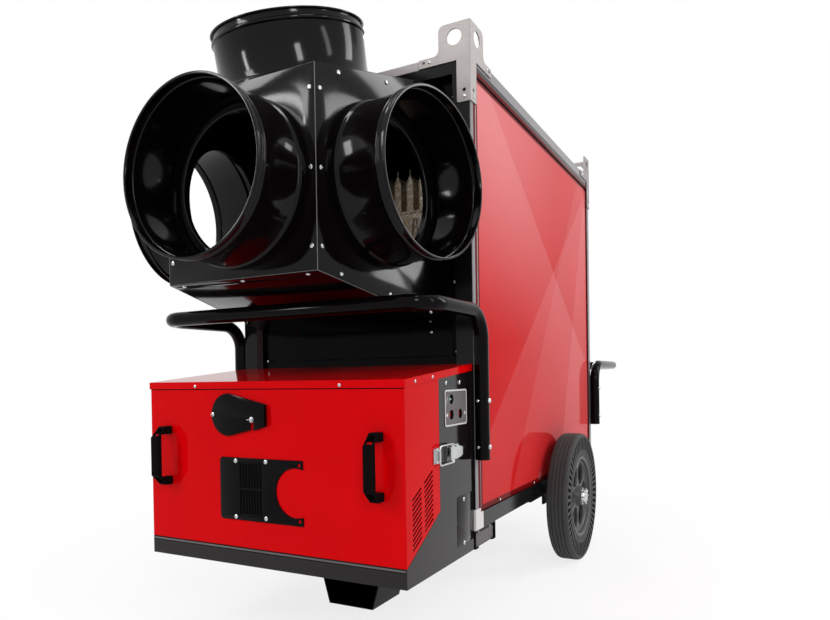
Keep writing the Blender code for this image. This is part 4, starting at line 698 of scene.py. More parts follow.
@dataclass(frozen=True)
class Finish:
    """A coated, moulded or plain metal surface.

    Attributes:
        name: its name, without the prefix of its material.
        colour: the base colour.
        roughness: the least roughness.
        metallic: how much of it is bare metal.
        specular: the level of the clear reflection.
        grain: how fine the relief is.
        depth: how high the relief is, in metres.
        tone: how far the colour wanders.
        handling: how much rougher the wiped patches are.
        dust: how much dust lies on what faces up.
        brushed: the fineness of the brushed lines along x, y and z, if it has any.
        edge: the radius that the light sees on sharp edges.
        lines_share: how much rougher the brushed lines are.
    """

    name: str
    colour: Colour
    roughness: float
    metallic: float = 0.0
    specular: float = 0.5
    grain: float = 900.0
    depth: float = 0.00002
    tone: float = 0.12
    handling: float = 0.06
    dust: float = 0.02
    brushed: Optional[tuple[float, float, float]] = None
    edge: float = 0.0
    lines_share: float = 0.10

    def colours(self, tree: Tree, surface: bpy.types.Node) -> bpy.types.NodeSocket:
        """Return the base colour before dust.

        Args:
            tree: the material's tree.
            surface: the placed surface group.

        Returns:
            A colour socket.
        """
        dark = tuple(part * (1 - self.tone) for part in self.colour)
        light = tuple(min(1.0, part * (1 + self.tone)) for part in self.colour)
        return tree.blend(surface.outputs["Tone"], dark, light)

    def material(self) -> bpy.types.Material:
        """Return the material, built on first use.

        Returns:
            The material. Its name starts apart from those of the CAD materials.
        """
        title = "finish_" + self.name
        if title in bpy.data.materials:
            return bpy.data.materials[title]
        made = bpy.data.materials.new(title)
        made.use_nodes = True
        made.diffuse_color = (*self.colour, 1)
        tree = Tree(made.node_tree)
        shader = made.node_tree.nodes["Principled BSDF"]
        surface = tree.node("Group", {"node_tree": Effect.surface()}, Grain=self.grain,
                            Dust=self.dust)
        tree.feed(shader.inputs["Base Color"],
                  tree.blend(surface.outputs["Dust"], self.colours(tree, surface), DUST))
        rough = tree.math("ADD", self.roughness,
                          tree.math("MULTIPLY", surface.outputs["Handling"], self.handling))
        height = surface.outputs["Height"]
        if self.brushed:
            along = dict(zip(("Along_X", "Along_Y", "Along_Z"), self.brushed))
            lines = tree.node("Group", {"node_tree": Effect.brushed()}, **along)
            height = lines.outputs["Height"]
            rough = tree.math("ADD", rough, tree.math("MULTIPLY", lines.outputs["Mask"],
                                                      self.lines_share))
        tree.feed(shader.inputs["Roughness"], rough)
        bump = tree.node("Bump", Height=height, Distance=self.depth, Strength=1.0)
        if self.edge:
            soft = tree.node("Group", {"node_tree": Effect.soft_edge()}, Radius=self.edge)
            tree.feed(bump.inputs["Normal"], soft.outputs["Normal"])
        tree.feed(shader.inputs["Normal"], bump.outputs[0])
        shader.inputs["Metallic"].default_value = self.metallic
        shader.inputs["Specular IOR Level"].default_value = self.specular
        return made


@dataclass(frozen=True)
class FacetedFinish(Finish):
    """The side panels' red, with its broad slanting steps of tone and its edges darkened as painted
    shade and reflection.
    """

    pale: Colour = (0.76, 0.33, 0.34)
    # The colour of the painted shade and reflection along the panel's edges, and how strongly it is
    # laid on.
    deep: Colour = (0.08, 0.0003, 0.0009)
    painted_edge_shade: float = 0.9

    def colours(self, tree: Tree, surface: bpy.types.Node) -> bpy.types.NodeSocket:
        """Return the base colour with its steps of tone and its edges darkened as painted shade and
        reflection. See Finish.
        """
        steps = tree.node("Group", {"node_tree": Effect.facets()})
        plain = super().colours(tree, surface)
        lit = tree.blend(steps.outputs["Tone"], plain, self.pale)
        # Darken the edges towards the deep red as painted shade and reflection.
        painted_edge_shade = tree.math("MULTIPLY", steps.outputs["Painted Edge Shade"], self.painted_edge_shade)
        return tree.blend(painted_edge_shade, lit, self.deep)


@dataclass(frozen=True)
class HeatedFinish(Finish):
    """Bare steel that has been hot."""

    scale: float = 0.95

    def colours(self, tree: Tree, surface: bpy.types.Node) -> bpy.types.NodeSocket:
        """Return the base colour with the tint of heat over it. See Finish."""
        heat = tree.node("Group", {"node_tree": Effect.heat()})
        plain = super().colours(tree, surface)
        return tree.blend(self.scale, plain, heat.outputs["Colour"])


@dataclass(frozen=True)
class FrameFinish(Finish):
    """The frame's profiles: black posts and pale base corners, with side faces and the top rail
    painted grey as painted reflection.
    """

    # The greys of the painted reflection: on side faces and the top rail, then paler along the top
    # rail's upper front.
    reflection_grey: Colour = (0.21, 0.20, 0.21)
    lip: Colour = (0.44, 0.40, 0.41)
    corner: Colour = (0.60, 0.59, 0.58)
    rail_low: float = 1.305
    lip_low: float = 1.333
    crown_low: float = 1.327
    corner_top: float = 0.276
    profile: float = 0.046
    square: float = 0.7

    def colours(self, tree: Tree, surface: bpy.types.Node) -> bpy.types.NodeSocket:
        """Return the base colour of each profile, with its painted reflection. See Finish."""
        low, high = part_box("cabinet_frame")
        where = tree.node("SeparateXYZ", Vector=tree.where())
        above = tree.math("GREATER_THAN", where.outputs[2], self.rail_low)
        below = tree.math("LESS_THAN", where.outputs[2], self.corner_top)
        near = tree.math("LESS_THAN", where.outputs[1], low.y + self.profile)
        far = tree.math("GREATER_THAN", where.outputs[1], high.y - self.profile)
        side = tree.math("GREATER_THAN", tree.math("ABSOLUTE", where.outputs[0]),
                         high.x - self.profile)
        ends = tree.math("MULTIPLY", tree.math("MAXIMUM", near, far), side)
        facing = tree.node("SeparateXYZ", Vector=tree.node("NewGeometry").outputs["Normal"])
        flat, front = (
            tree.math("GREATER_THAN", tree.math("ABSOLUTE", facing.outputs[axis]), self.square)
            for axis in (0, 1))
        # Painted reflection: side faces between the base corners and the top rail, and faces high
        # on the top rail that don't face front or back, take the grey; front and back faces higher
        # still take the paler grey.
        lip = tree.math("MULTIPLY", front, tree.math("GREATER_THAN", where.outputs[2],
                                                     self.lip_low))
        side_reflection = tree.math("MULTIPLY", flat, tree.math("SUBTRACT", 1.0, tree.math(
            "MAXIMUM", below, above)))
        crown = tree.math("GREATER_THAN", where.outputs[2], self.crown_low)
        crown_reflection = tree.math("MULTIPLY", crown, tree.math("SUBTRACT", 1.0, front))
        plain = super().colours(tree, surface)
        reflected = tree.blend(tree.math("MAXIMUM", crown_reflection, side_reflection), plain, self.reflection_grey)
        reflected = tree.blend(lip, reflected, self.lip)
        return tree.blend(tree.math("MULTIPLY", below, ends), reflected, self.corner)


RED = Finish("gloss_red", (0.53, 0.0004, 0.0020), 0.07, specular=0.04, depth=0.000006,
             tone=0.04, handling=0.05, dust=0.006, edge=0.0015)
SIDE_RED = FacetedFinish("panel_red", (0.49, 0.0006, 0.0020), 0.05, specular=0.018,
                         depth=0.000005, tone=0.04, handling=0.03, dust=0.006)
BLACK = Finish("gloss_black", (0.0018, 0.0010, 0.0012), 0.09, specular=0.07, depth=0.000006,
               handling=0.05, dust=0.003)
DUCT_BLACK = Finish("duct_black", (0.0018, 0.0010, 0.0012), 0.10, specular=0.17,
                    depth=0.000006, handling=0.05, dust=0.003)
# Grey painted highlight lines along the plenum sheets' edges.
EDGE_HIGHLIGHT = Finish("edge_highlight", (0.13, 0.125, 0.125), 0.22, specular=0.3, depth=0.000004)
# Dark red painted shade and reflection of the frame where the side panels sit recessed.
EDGE_SHADE_RED = Finish("edge_shade_red", (0.11, 0.0006, 0.0012), 0.25, specular=0.03, depth=0.000006)
SHEET_BLACK = Finish("sheet_black", (0.0022, 0.0014, 0.0016), 0.11, specular=0.05,
                     depth=0.000008, handling=0.06, dust=0.004, edge=0.0015)
CHARCOAL = Finish("charcoal", (0.0075, 0.0050, 0.0055), 0.10, specular=0.26, depth=0.000008,
                  handling=0.05, dust=0.004, edge=0.0012)
FRAME = FrameFinish("frame_coat", (0.004, 0.004, 0.0043), 0.14, specular=0.16, depth=0.00001,
                    dust=0.004, edge=0.0010)
EDGE_METAL = Finish("profile_edge", (0.42, 0.41, 0.42), 0.34, metallic=0.85,
                    brushed=(900, 900, 5))
LUG_STEEL = Finish("lug_steel", (0.27, 0.25, 0.245), 0.48, metallic=0.8,
                   brushed=(5, 5, 1100), tone=0.06, depth=0.00001, dust=0)
STEEL = Finish("bare_steel", (0.44, 0.43, 0.42), 0.34, metallic=1.0, brushed=(700, 6, 700),
               depth=0.00001, dust=0.01)
ZINC = Finish("zinc", (0.56, 0.57, 0.58), 0.22, metallic=1.0, grain=500, depth=0.00002,
              tone=0.14, handling=0.16, dust=0)
CAST = Finish("cast_metal", (0.30, 0.31, 0.32), 0.5, metallic=0.9, grain=1500, depth=0.00012)
PLASTIC = Finish("black_plastic", (0.0050, 0.0040, 0.0042), 0.36, specular=0.004, grain=2600,
                 depth=0.00004, dust=0.004)
RUBBER = Finish("rubber", (0.040, 0.040, 0.041), 0.68, specular=0.3, grain=1400, depth=0.00009,
                tone=0.18, dust=0.03)
RIM_COAT = Finish("rim_coat", (0.045, 0.045, 0.046), 0.42, specular=0.4, grain=1800,
                  depth=0.00004)
LABEL = Finish("label_grey", (0.105, 0.095, 0.10), 0.5, specular=0.3, grain=1800, tone=0.05,
               depth=0.00001)
LABEL_LINE = Finish("label_line", (0.56, 0.54, 0.54), 0.45, specular=0.3, grain=1800,
                    tone=0.04, depth=0.00001)
KNOB = Finish("knob_green", (0.30, 0.46, 0.38), 0.30, grain=1800, depth=0.00002)
PUSH_RED = Finish("button_red", (0.85, 0.020, 0.024), 0.28, grain=1800, depth=0.00002)
# Grey painted highlight along the tray's folded lip.
TRAY_HIGHLIGHT = Finish("tray_highlight", (0.11, 0.10, 0.10), 0.3, specular=0.2, grain=1800)
# Near-black rubber laid in the sidewall slots as painted shade.
SLOT_SHADE = Finish("slot_shade", (0.004, 0.004, 0.004), 0.85, specular=0.03, grain=1400,
                     depth=0.00005, dust=0)
# Near-black painted shade for gaps, and for openings and what is seen through them.
SHADE_BLACK = Finish("shade_black", (0.0012, 0.0010, 0.0011), 0.8, specular=0.05, dust=0)
HOT = HeatedFinish("hot_steel", (0.78, 0.68, 0.52), 0.36, metallic=0.1, specular=0.12, grain=350,
                   depth=0.00025, tone=0.2)


def dress(finish: Finish, *nodes: str) -> None:
    """Give CAD nodes a finish.

    Args:
        finish: the finish.
        *nodes: the nodes' names.
    """
    for name in nodes:
        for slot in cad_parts[name].material_slots:
            slot.material = finish.material()
        LOG.info("%s: %s", name, finish.name)


def fastened(name: str, head: Head, places: Iterable[Stand], body: str = "chassis") -> None:
    """Add one piece of zinc screws.

    Args:
        name: the piece's name.
        head: their kind.
        places: where each stands, and the direction that it faces.
        body: the CAD body that they move with.
    """
    screws(Shape(), head, places).piece(name, ZINC, body, "zinc")


@dataclass
class Cabinet:
    """The framed cabinet with its panels, lifting lugs and screws."""

    width: float = WIDTH
    length: float = LENGTH
    top: float = 1.354
    lug_top: float = 1.4224
    lug_head: float = 0.082
    lug_reach: float = 0.135
    lug_arm: float = 0.021
    lug_post: float = 0.036
    lug_drop: float = 0.121
    lug_sheet: float = 0.003
    bend: float = 0.0030
    eye: tuple[float, float, float] = (0.041, 0.0334, 0.019)
    hole: float = 0.0042
    gap: float = 0.0033

    def build(self) -> None:
        """Dress the CAD nodes, and add the lugs, the profile edges, the screws and the flanges."""
        dress(FRAME, "cabinet_frame")
        dress(SIDE_RED, "side_panel_right", "side_panel_left")
        dress(SHEET_BLACK, "top_panel", "floor_panel", "front_panel", "rear_panel")
        self.lugs()
        self.edges()
        self.fixings()
        self.flanges()

    def leg(self) -> list[Outline]:
        """Return one leg of a lug, as distance from its corner and height, with its holes."""
        low = self.top - self.lug_drop
        arm_low = self.top - self.lug_arm
        inner, outer, chamfer = 0.014, 0.015, 0.003
        outline = [(self.bend, low), (self.lug_post - chamfer, low),
                   (self.lug_post, low + chamfer), (self.lug_post, arm_low),
                   (self.lug_reach, arm_low), (self.lug_reach, self.top)]
        outline += arc((self.lug_head + inner, self.top + inner), inner, -90, -180, 8)
        outline += arc((self.lug_head - outer, self.lug_top - outer), outer, 0, 90, 8)
        outline.append((self.bend, self.lug_top))
        reach, drop, radius = self.eye
        holes = [ring((reach, self.lug_top - drop), radius)]
        for place in ((0.1215, self.top - 0.010), (0.017, 1.2605)):
            holes.append(ring(place, self.hole, 20))
        return [outline] + holes

    def corners(self) -> list[tuple[str, int, int]]:
        """Return each corner's words and its signs along x and y."""
        return [("front_right", 1, -1), ("front_left", -1, -1), ("rear_right", 1, 1),
                ("rear_left", -1, 1)]

    def corner(self, x_sign: int, y_sign: int) -> Vector:
        """Return the outer point of a lug at the floor."""
        y = -self.gap if y_sign < 0 else self.length + self.gap
        return spot(x_sign * (self.width / 2 + self.gap), y, 0)

    def lugs(self) -> None:
        """Add the four folded lugs with their screws."""
        soft = 0.0004
        low, high = self.top - self.lug_drop + soft, self.lug_top - soft
        for words, x_sign, y_sign in self.corners():
            made, heads = Shape(), []
            corner = self.corner(x_sign, y_sign)
            for across, out in ((Vector((-x_sign, 0, 0)), Vector((0, y_sign, 0))),
                                (Vector((0, -y_sign, 0)), Vector((x_sign, 0, 0)))):
                place = laid(corner, across, UP)
                if place.to_3x3().col[2].dot(out) < 0:
                    place = place @ Matrix.Translation((0, 0, self.lug_sheet))
                made.slab(self.leg(), self.lug_sheet, place, soft)
                heads += [(corner + across * run + Vector((0, 0, height)), out)
                          for run, height in ((0.1065, self.top - 0.010), (0.017, 1.2455))]
            axis = corner + Vector((-x_sign * self.bend, -y_sign * self.bend, 0))
            made.pin(self.bend, low, high, Matrix.Translation(axis), 40)
            made.piece("lug_" + words, LUG_STEEL, "chassis", "stainless",
                       ["lifting_lug_" + words], 8)
            fastened("lug_screws_" + words, Head.SMALL, heads)

    def edges(self) -> None:
        """Add the bare edges of the profiles, and dark red strips of painted shade and reflection
        round the side panels.
        """
        made = Shape()
        side = self.width / 2
        for y in (0.0295, self.length - 0.0315):
            made.block(spot(side - 0.0003, y, 0.278), spot(side + 0.0004, y + 0.002, 1.232), 0.0002)
        made.mirrored().piece("profile_edges", EDGE_METAL, "chassis", "frame_paint")
        # Dark red strips of painted shade and reflection along the side panels' front, rear and top
        # edges.
        folds = Shape()
        low, high, last = 0.277, 1.312, self.length
        for outline in (oblong(0.0165, low, 0.0290, high),
                        oblong(last - 0.0290, low, last - 0.0240, high),
                        oblong(0.0300, 1.3060, last - 0.0300, 1.3150)):
            folds.slab([outline], 0.0006, flank(side + 0.0005), 0.0002)
        folds.mirrored().piece("panel_edge_shade", EDGE_SHADE_RED, "chassis", "red_paint")

    def fixings(self) -> None:
        """Add the small screws of the front, rear and base."""
        inset = 0.024
        heads = [(spot(x, inset, z), AHEAD) for x, z in (
            (-0.285, 0.640), (-0.275, 0.730), (-0.185, 0.745), (-0.185, 0.715), (-0.013, 0.745),
            (0.140, 0.745), (0.228, 0.745), (0.228, 0.700), (0.295, 0.650), (-0.295, 0.818),
            (0.291, 0.818), (0.282, 0.950), (0.295, 1.26), (-0.295, 1.26), (0.295, 0.95),
            (-0.295, 0.95))]
        rear = [(x, z) for x in (-0.29, 0.29) for z in (0.29, 0.52, 0.75, 0.98, 1.28)]
        rear += [(x, z) for x in (-0.145, 0, 0.145) for z in (0.275, 1.295)]
        heads += [(spot(x, self.length - inset, z), BACK) for x, z in rear]
        made = screws(Shape(), Head.SMALL, heads)
        for sign in (1, -1):
            screws(made, Head.SMALL, [beside(sign, self.width / 2, y, 0.274)
                                      for y in (0.162, 0.45, 0.74, 1.03)])
        made.piece("panel_screws", ZINC, "chassis", "zinc")

    def flanges(self) -> None:
        """Add the thin flanges round the front panel's opening."""
        low, high, half = 0.640, 0.938, 0.0012
        outlines = [oblong(sign * x - half, low, sign * x + half, high)
                    for sign in (1, -1) for x in (0.2865, 0.2925)]
        outlines.append(oblong(-0.300, 0.6385, 0.300, 0.6415))
        strips = Shape()
        for outline in outlines:
            strips.slab([outline], 0.0008, facade(0.0231), 0.0003)
        strips.piece("panel_flanges", SHEET_BLACK, "chassis", "black_paint")


@dataclass
class Plenum:
    """The pyramid of folded sheets that the hot air leaves through, with its four collars."""

    reach: float = 0.407
    rear: float = 0.0235
    half: float = 0.197
    low: float = 0.798
    high: float = 1.195
    side_slope: float = 0.1687
    top_slope: float = 0.2282
    under_slope: float = 0.1996
    front_height: float = 0.991
    side_run: float = 0.210
    side_height: float = 1.003
    top_run: float = 0.2125
    sheet: float = 0.002
    edge: float = 0.0006
    # How far back the painted highlight runs along the lower edges, as a share of the depth.
    highlight_share: float = 0.55
    bore: float = 0.150
    seam: float = 0.0004

    def build(self) -> None:
        """Add the sheets, the painted highlight lines along their edges, the collars and the
        screws.
        """
        self.sheets()
        self.seams()
        self.collars()
        self.fixings()

    def places(self) -> dict[str, Matrix]:
        """Return each collar's placement, which points out of its sheet."""
        side = Vector((1, -self.side_slope, 0)).normalized()
        top = Vector((0, -self.top_slope, 1)).normalized()
        along = self.side_run / math.hypot(1, self.side_slope)
        up = self.top_run / math.hypot(1, self.top_slope)
        x, y = self.half + self.side_slope * along, along - self.reach
        return {
            "front": aimed(spot(0, -self.reach, self.front_height), AHEAD),
            "right": aimed(spot(x, y, self.side_height), side),
            "left": aimed(spot(-x, y, self.side_height), Vector((-side.x, side.y, 0))),
            "top": aimed(spot(0, up - self.reach, self.high + self.top_slope * up), top),
        }

    def fanned(self, slope: float) -> Outline:
        """Return the outline of the upper or the lower sheet, which widens to the rear."""
        deep, gap = self.reach + self.rear, self.seam
        wide, long = self.half + self.side_slope * deep, deep * math.hypot(1, slope)
        return [(gap - self.half, gap), (self.half - gap, gap), (wide - gap, long),
                (gap - wide, long)]

    def sheets(self) -> None:
        """Add the five sheets, each with its own edge, and the lower sheet's lip."""
        deep, gap = self.reach + self.rear, self.seam
        corner = spot(0, -self.reach, 0)
        made = Shape()
        made.slab([oblong(gap - self.half, self.low + gap, self.half - gap, self.high - gap),
                   ring((0, self.front_height), self.bore, 96)],
                  self.sheet, facade(-self.reach), self.edge)
        long = deep * math.hypot(1, self.side_slope)
        outline = [(gap, self.low + gap), (long, self.low - self.under_slope * deep + gap),
                   (long, self.high + self.top_slope * deep - gap), (gap, self.high - gap)]
        for sign in (1, -1):
            place = laid(spot(sign * self.half, -self.reach, 0),
                         Vector((sign * self.side_slope, 1, 0)), UP)
            if sign < 0:
                place = place @ Matrix.Translation((0, 0, self.sheet))
            made.slab([outline, ring((self.side_run, self.side_height), self.bore, 96)],
                      self.sheet, place, self.edge)
        upper = laid(corner + Vector((0, 0, self.high)), RIGHT, Vector((0, 1, self.top_slope)))
        made.slab([self.fanned(self.top_slope), ring((0, self.top_run), self.bore, 96)],
                  self.sheet, upper, self.edge)
        under = laid(corner + Vector((0, 0, self.low)), Vector((-1, 0, 0)),
                     Vector((0, 1, -self.under_slope)))
        made.slab([self.fanned(self.under_slope)], self.sheet, under, self.edge)
        lip, inset = 0.026, 0.001
        across = self.half + self.side_slope * lip - inset
        made.slab([[(-self.half + inset, inset), (self.half - inset, inset), (across, lip),
                    (-across, lip)]], 0.0012, under @ Matrix.Translation((0, 0, 0.0010)), 0.0004)
        made.piece("plenum_sheets", DUCT_BLACK, "chassis", "black_paint", ["plenum_box"])

    def seams(self) -> None:
        """Add painted highlight lines along the front sheet's sides and foot, and along the lower
        edges.
        """
        run = (self.reach + self.rear) * self.highlight_share
        front, foot = self.seam - self.reach, self.low + self.seam
        # Thin grey rods along the edges as painted highlights.
        edges = Shape()
        for sign in (1, -1):
            x = sign * (self.half - 0.0003)
            last = sign * (self.half + self.side_slope * run - 0.0003)
            edges.sweep([spot(x, front, self.low + 0.001), spot(x, front, self.high - 0.001)],
                        0.0008, 8)
            edges.sweep([spot(x, front, foot),
                         spot(last, run - self.reach, foot - self.under_slope * run)], 0.0007, 8)
        edges.sweep([spot(0.002 - self.half, front, foot), spot(self.half - 0.002, front, foot)],
                    0.0006, 8)
        edges.piece("plenum_edge_highlights", EDGE_HIGHLIGHT, "chassis", "black_paint")

    def profile(self) -> Outline:
        """Return a collar's section: foot, barrel, bead and rolled rim."""
        outer, sheet, long = 0.1695, 0.0016, 0.137
        foot, bead = outer + 0.005, long - 0.020
        line = [(self.bore - 0.0003, -0.010), (self.bore - 0.0003, 0.0003), (foot, 0.0003)]
        line += [(foot, 0.0135)] + arc((foot - 0.0025, 0.0135), 0.0025, 0, 60, 3)
        line += [(outer, 0.0215), (outer, bead - 0.005)]
        line += arc((outer, bead), 0.004, -80, 80, 8)
        line += [(outer, bead + 0.005), (outer, long - 0.0045)]
        line += arc((outer + 0.0018, long - 0.0022), 0.0022, -150, 90, 10)
        line += [(outer - sheet * 0.4, long), (outer - sheet, long - 0.001)]
        line += [(outer - sheet, bead + 0.005)]
        line += arc((outer - sheet, bead), 0.0034, 80, -80, 8)
        line += [(outer - sheet, bead - 0.005), (outer - sheet, 0.0225), (foot - 0.0020, 0.0175),
                 (foot - 0.0020, 0.0025), (self.bore + 0.0005, 0.0025),
                 (self.bore - 0.0022, 0.0005), (self.bore - 0.0023, -0.010)]
        return line

    def collars(self) -> None:
        """Add the four collars."""
        for key, place in self.places().items():
            Shape().lathe(self.profile(), place, 128).piece(
                "collar_" + key, DUCT_BLACK, "chassis", "black_paint",
                ["outlet_collar_" + key], 40)

    def fixings(self) -> None:
        """Add the cross-recess screws along the sheets' edges."""
        inset, heights = 0.013, (1.148, 0.996, 0.846)
        heads = [(spot(x, -self.reach, z), AHEAD) for x in (-0.185, 0.185) for z in heights]
        for sign in (1, -1):
            way = Vector((sign, -self.side_slope, 0)).normalized()
            for deep, height in (*((inset, z) for z in heights),
                                 (0.065, 1.196), (0.215, 1.228), (0.365, 1.262),
                                 (0.065, 0.798), (0.215, 0.770), (0.365, 0.742)):
                heads.append((spot(sign * (self.half + self.side_slope * deep),
                                   deep - self.reach, height), way))
        way = Vector((0, -self.under_slope, -1)).normalized()
        heads += [(spot(x, inset - self.reach, self.low - self.under_slope * inset - 0.001), way)
                  for x in (-0.165, 0.0, 0.165)]
        fastened("plenum_screws", Head.PAN, heads)


@dataclass
class TubeHandles:
    """The two bent tubes that the machine is pulled and guarded by."""

    radius: float = 0.017
    bend: float = 0.065
    side: float = WIDTH / 2 + 0.0003 + 0.017
    foot: float = 0.395

    def build(self) -> None:
        """Add both tubes and their bolts."""
        side = self.side
        for name, leg, bar, height, bolts, way in (
                ("front_tube_handle", 0.004, -0.280, 0.740, (0.533, 0.425), -1),
                ("rear_tube_handle", LENGTH - 0.004, LENGTH + 0.403, 0.627, (0.534, 0.426), 1)):
            corners = [spot(side, leg, self.foot), spot(side, leg, height),
                       spot(side, bar, height), spot(-side, bar, height),
                       spot(-side, leg, height), spot(-side, leg, self.foot)]
            Shape().sweep(bent(corners, self.bend, 14), self.radius, 32).piece(
                name + "_tube", BLACK, "chassis", "black_paint", [name])
            places = [(sign, z) for sign in (1, -1) for z in bolts]
            made = screws(Shape(), Head.DOME, [
                beside(sign, side + self.radius - 0.0006, leg, z) for sign, z in places])
            screws(made, Head.SMALL, [
                (spot(sign * (side - 0.005), leg + way * 0.0158, z), Vector((0, way, 0)))
                for sign, z in places])
            made.piece(name + "_bolts", ZINC, "chassis", "zinc")


@dataclass
class BurnerHood:
    """The sliding red hood with its flap, intake plate, pull handles and screws."""

    side: float = BURNER_HALF
    reach: float = 0.3368
    front_top: float = 0.5872
    rear_top: float = 0.6199

    def build(self) -> None:
        """Dress the sheets and add the small pieces."""
        dress(RED, "hood", "hood_lid")
        self.shade_sheets()
        self.plate()
        self.flap()
        self.grips()
        self.fixings()

    def front(self, away: float) -> Matrix:
        """Return the placement of an outline on the hood's front, away from its face."""
        return facade(-self.reach - away)

    def at(self, x: float, away: float, z: float) -> Vector:
        """Return a point at a distance in front of the hood's face."""
        return spot(x, -self.reach - away, z)

    def shade_sheets(self) -> None:
        """Add near-black sheets of painted shade behind the vents of both sides, and a painted
        shadow line under the lid.
        """
        # Near-black painted shade behind the vents.
        Shape().slab([[(-0.318, 0.236), (-0.222, 0.296), (-0.222, 0.404), (-0.318, 0.366)]],
                     0.0006, flank(self.side - 0.0026), 0.0002).mirrored().piece(
            "vent_shade", SHADE_BLACK, "burner_hood", "black_paint")
        # A painted shadow line under the lid's front lip.
        low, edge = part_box("hood_lid")[0].z, self.side - 0.002
        Shape().slab([oblong(-edge, low - 0.0020, edge, low - 0.0002)], 0.0005,
                     self.front(0.0006), 0.0001).piece(
            "lid_shadow_line", SHADE_BLACK, "burner_hood", "black_paint")

    def plate(self) -> None:
        """Add the intake plate, the louvre fins, and a near-black sheet of painted shade behind its
        windows.
        """
        left, right, low, high = -0.126, 0.102, 0.283, 0.420
        centre, radius, corner = (0.0835, 0.3515), 0.0525, 0.008
        spread = math.degrees(math.acos((right - centre[0]) / radius))
        outline = arc((left + corner, high - corner), corner, 90, 180, 8)
        outline += arc((left + corner, low + corner), corner, 180, 270, 8)
        outline += [(right, low)] + arc(centre, radius, 360 - spread, spread, 40)
        outline += [(right, high)]
        start, foot, end, head = -0.069, 0.293, -0.007, 0.412
        middle = (foot + head) / 2
        holes = [oblong(start, foot, end, middle - 0.0025),
                 oblong(start, middle + 0.0025, end, head)]
        for z in (low + 0.010, high - 0.010):
            holes.append(rounded(right - 0.0135, z - 0.0035, right - 0.0065, z + 0.0035, 0.001))
        Shape().slab([outline] + holes, 0.002, self.front(0.0023), 0.0004).piece(
            "intake_cover", BLACK, "burner_hood", "black_paint", ["intake_plate"])
        bays, rim = 8, 0.004
        pitch = (end - start) / bays
        middles = [start + pitch * (number + 0.5) for number in range(bays)]
        slots = [oblong(x - 0.0019, foot + rim, x + 0.0019, head - rim) for x in middles]
        fins = Shape().slab([oblong(start + 0.0002, foot + 0.0002, end - 0.0002, head - 0.0002)]
                            + slots, 0.0008, self.front(0.0013), 0.0001)
        for number in range(1, bays):
            x = start + pitch * number
            fins.block(self.at(x - 0.0005, 0.0021, foot + rim),
                       self.at(x + 0.0005, 0.0010, head - rim), 0.0002)
        fins.piece("intake_fins", BLACK, "burner_hood", "black_paint")
        # Near-black painted shade seen through the windows.
        Shape().slab([oblong(start + 0.0004, foot + 0.0004, end - 0.0004, head - 0.0004)],
                     0.0003, self.front(0.0004), 0.0001).piece(
            "intake_shade", SHADE_BLACK, "burner_hood", "black_paint")

    def flap(self) -> None:
        """Add the swinging sight flap with its turned-up end, its pivot and its clamp."""
        centre, radius, end = (-0.099, 0.514), 0.0466, 0.010
        low, high, notch, slot = 0.490, 0.537, -0.030, 0.004
        pivot, notch_top = (-0.141, 0.514), 0.504
        outline = arc(centre, radius, 72, 288, 40)
        last = outline[-1]
        share = (notch - slot - last[0]) / (end - last[0])
        edge = last[1] + (low - last[1]) * share
        outline += [(notch - slot, edge)] + arc((notch, notch_top), slot, 180, 0, 10)
        outline += [(notch + slot, edge - 0.001), (end, low), (end, high)]
        made = Shape().slab([outline, ring(pivot, 0.0033, 20)], 0.002, self.front(0.0050), 0.0004)
        made.block(self.at(end - 0.002, 0.0120, low), self.at(end, 0.0031, high), 0.0005)
        made.piece("sight_cover", BLACK, "flap", "black_paint", ["sight_flap"])
        made = screws(Shape(), Head.PAN, [(self.at(pivot[0], 0.0051, pivot[1]), AHEAD)])
        made.pin(0.0030, 0, 0.0050, aimed(self.at(pivot[0], 0.0003, pivot[1]), AHEAD), 20)
        made.piece("sight_pivot", ZINC, "burner_hood", "zinc", ["flap_pivot"])
        place = aimed(self.at(notch, 0.0003, notch_top), AHEAD)
        made = Shape().pin(0.0024, 0, 0.0100, place, 20)
        made.lathe([(0.0026, 0.0052), (0.0062, 0.0052), (0.0062, 0.0060), (0.0026, 0.0060)],
                   place, 28)
        screws(made, Head.PAN, [(self.at(notch, 0.0066, notch_top), AHEAD)])
        made.sweep([self.at(notch - 0.0115, 0.0075, notch_top - 0.0005),
                    self.at(notch - 0.004, 0.0080, notch_top + 0.0005)], 0.0010, 10)
        made.piece("sight_clamp", ZINC, "burner_hood", "zinc")

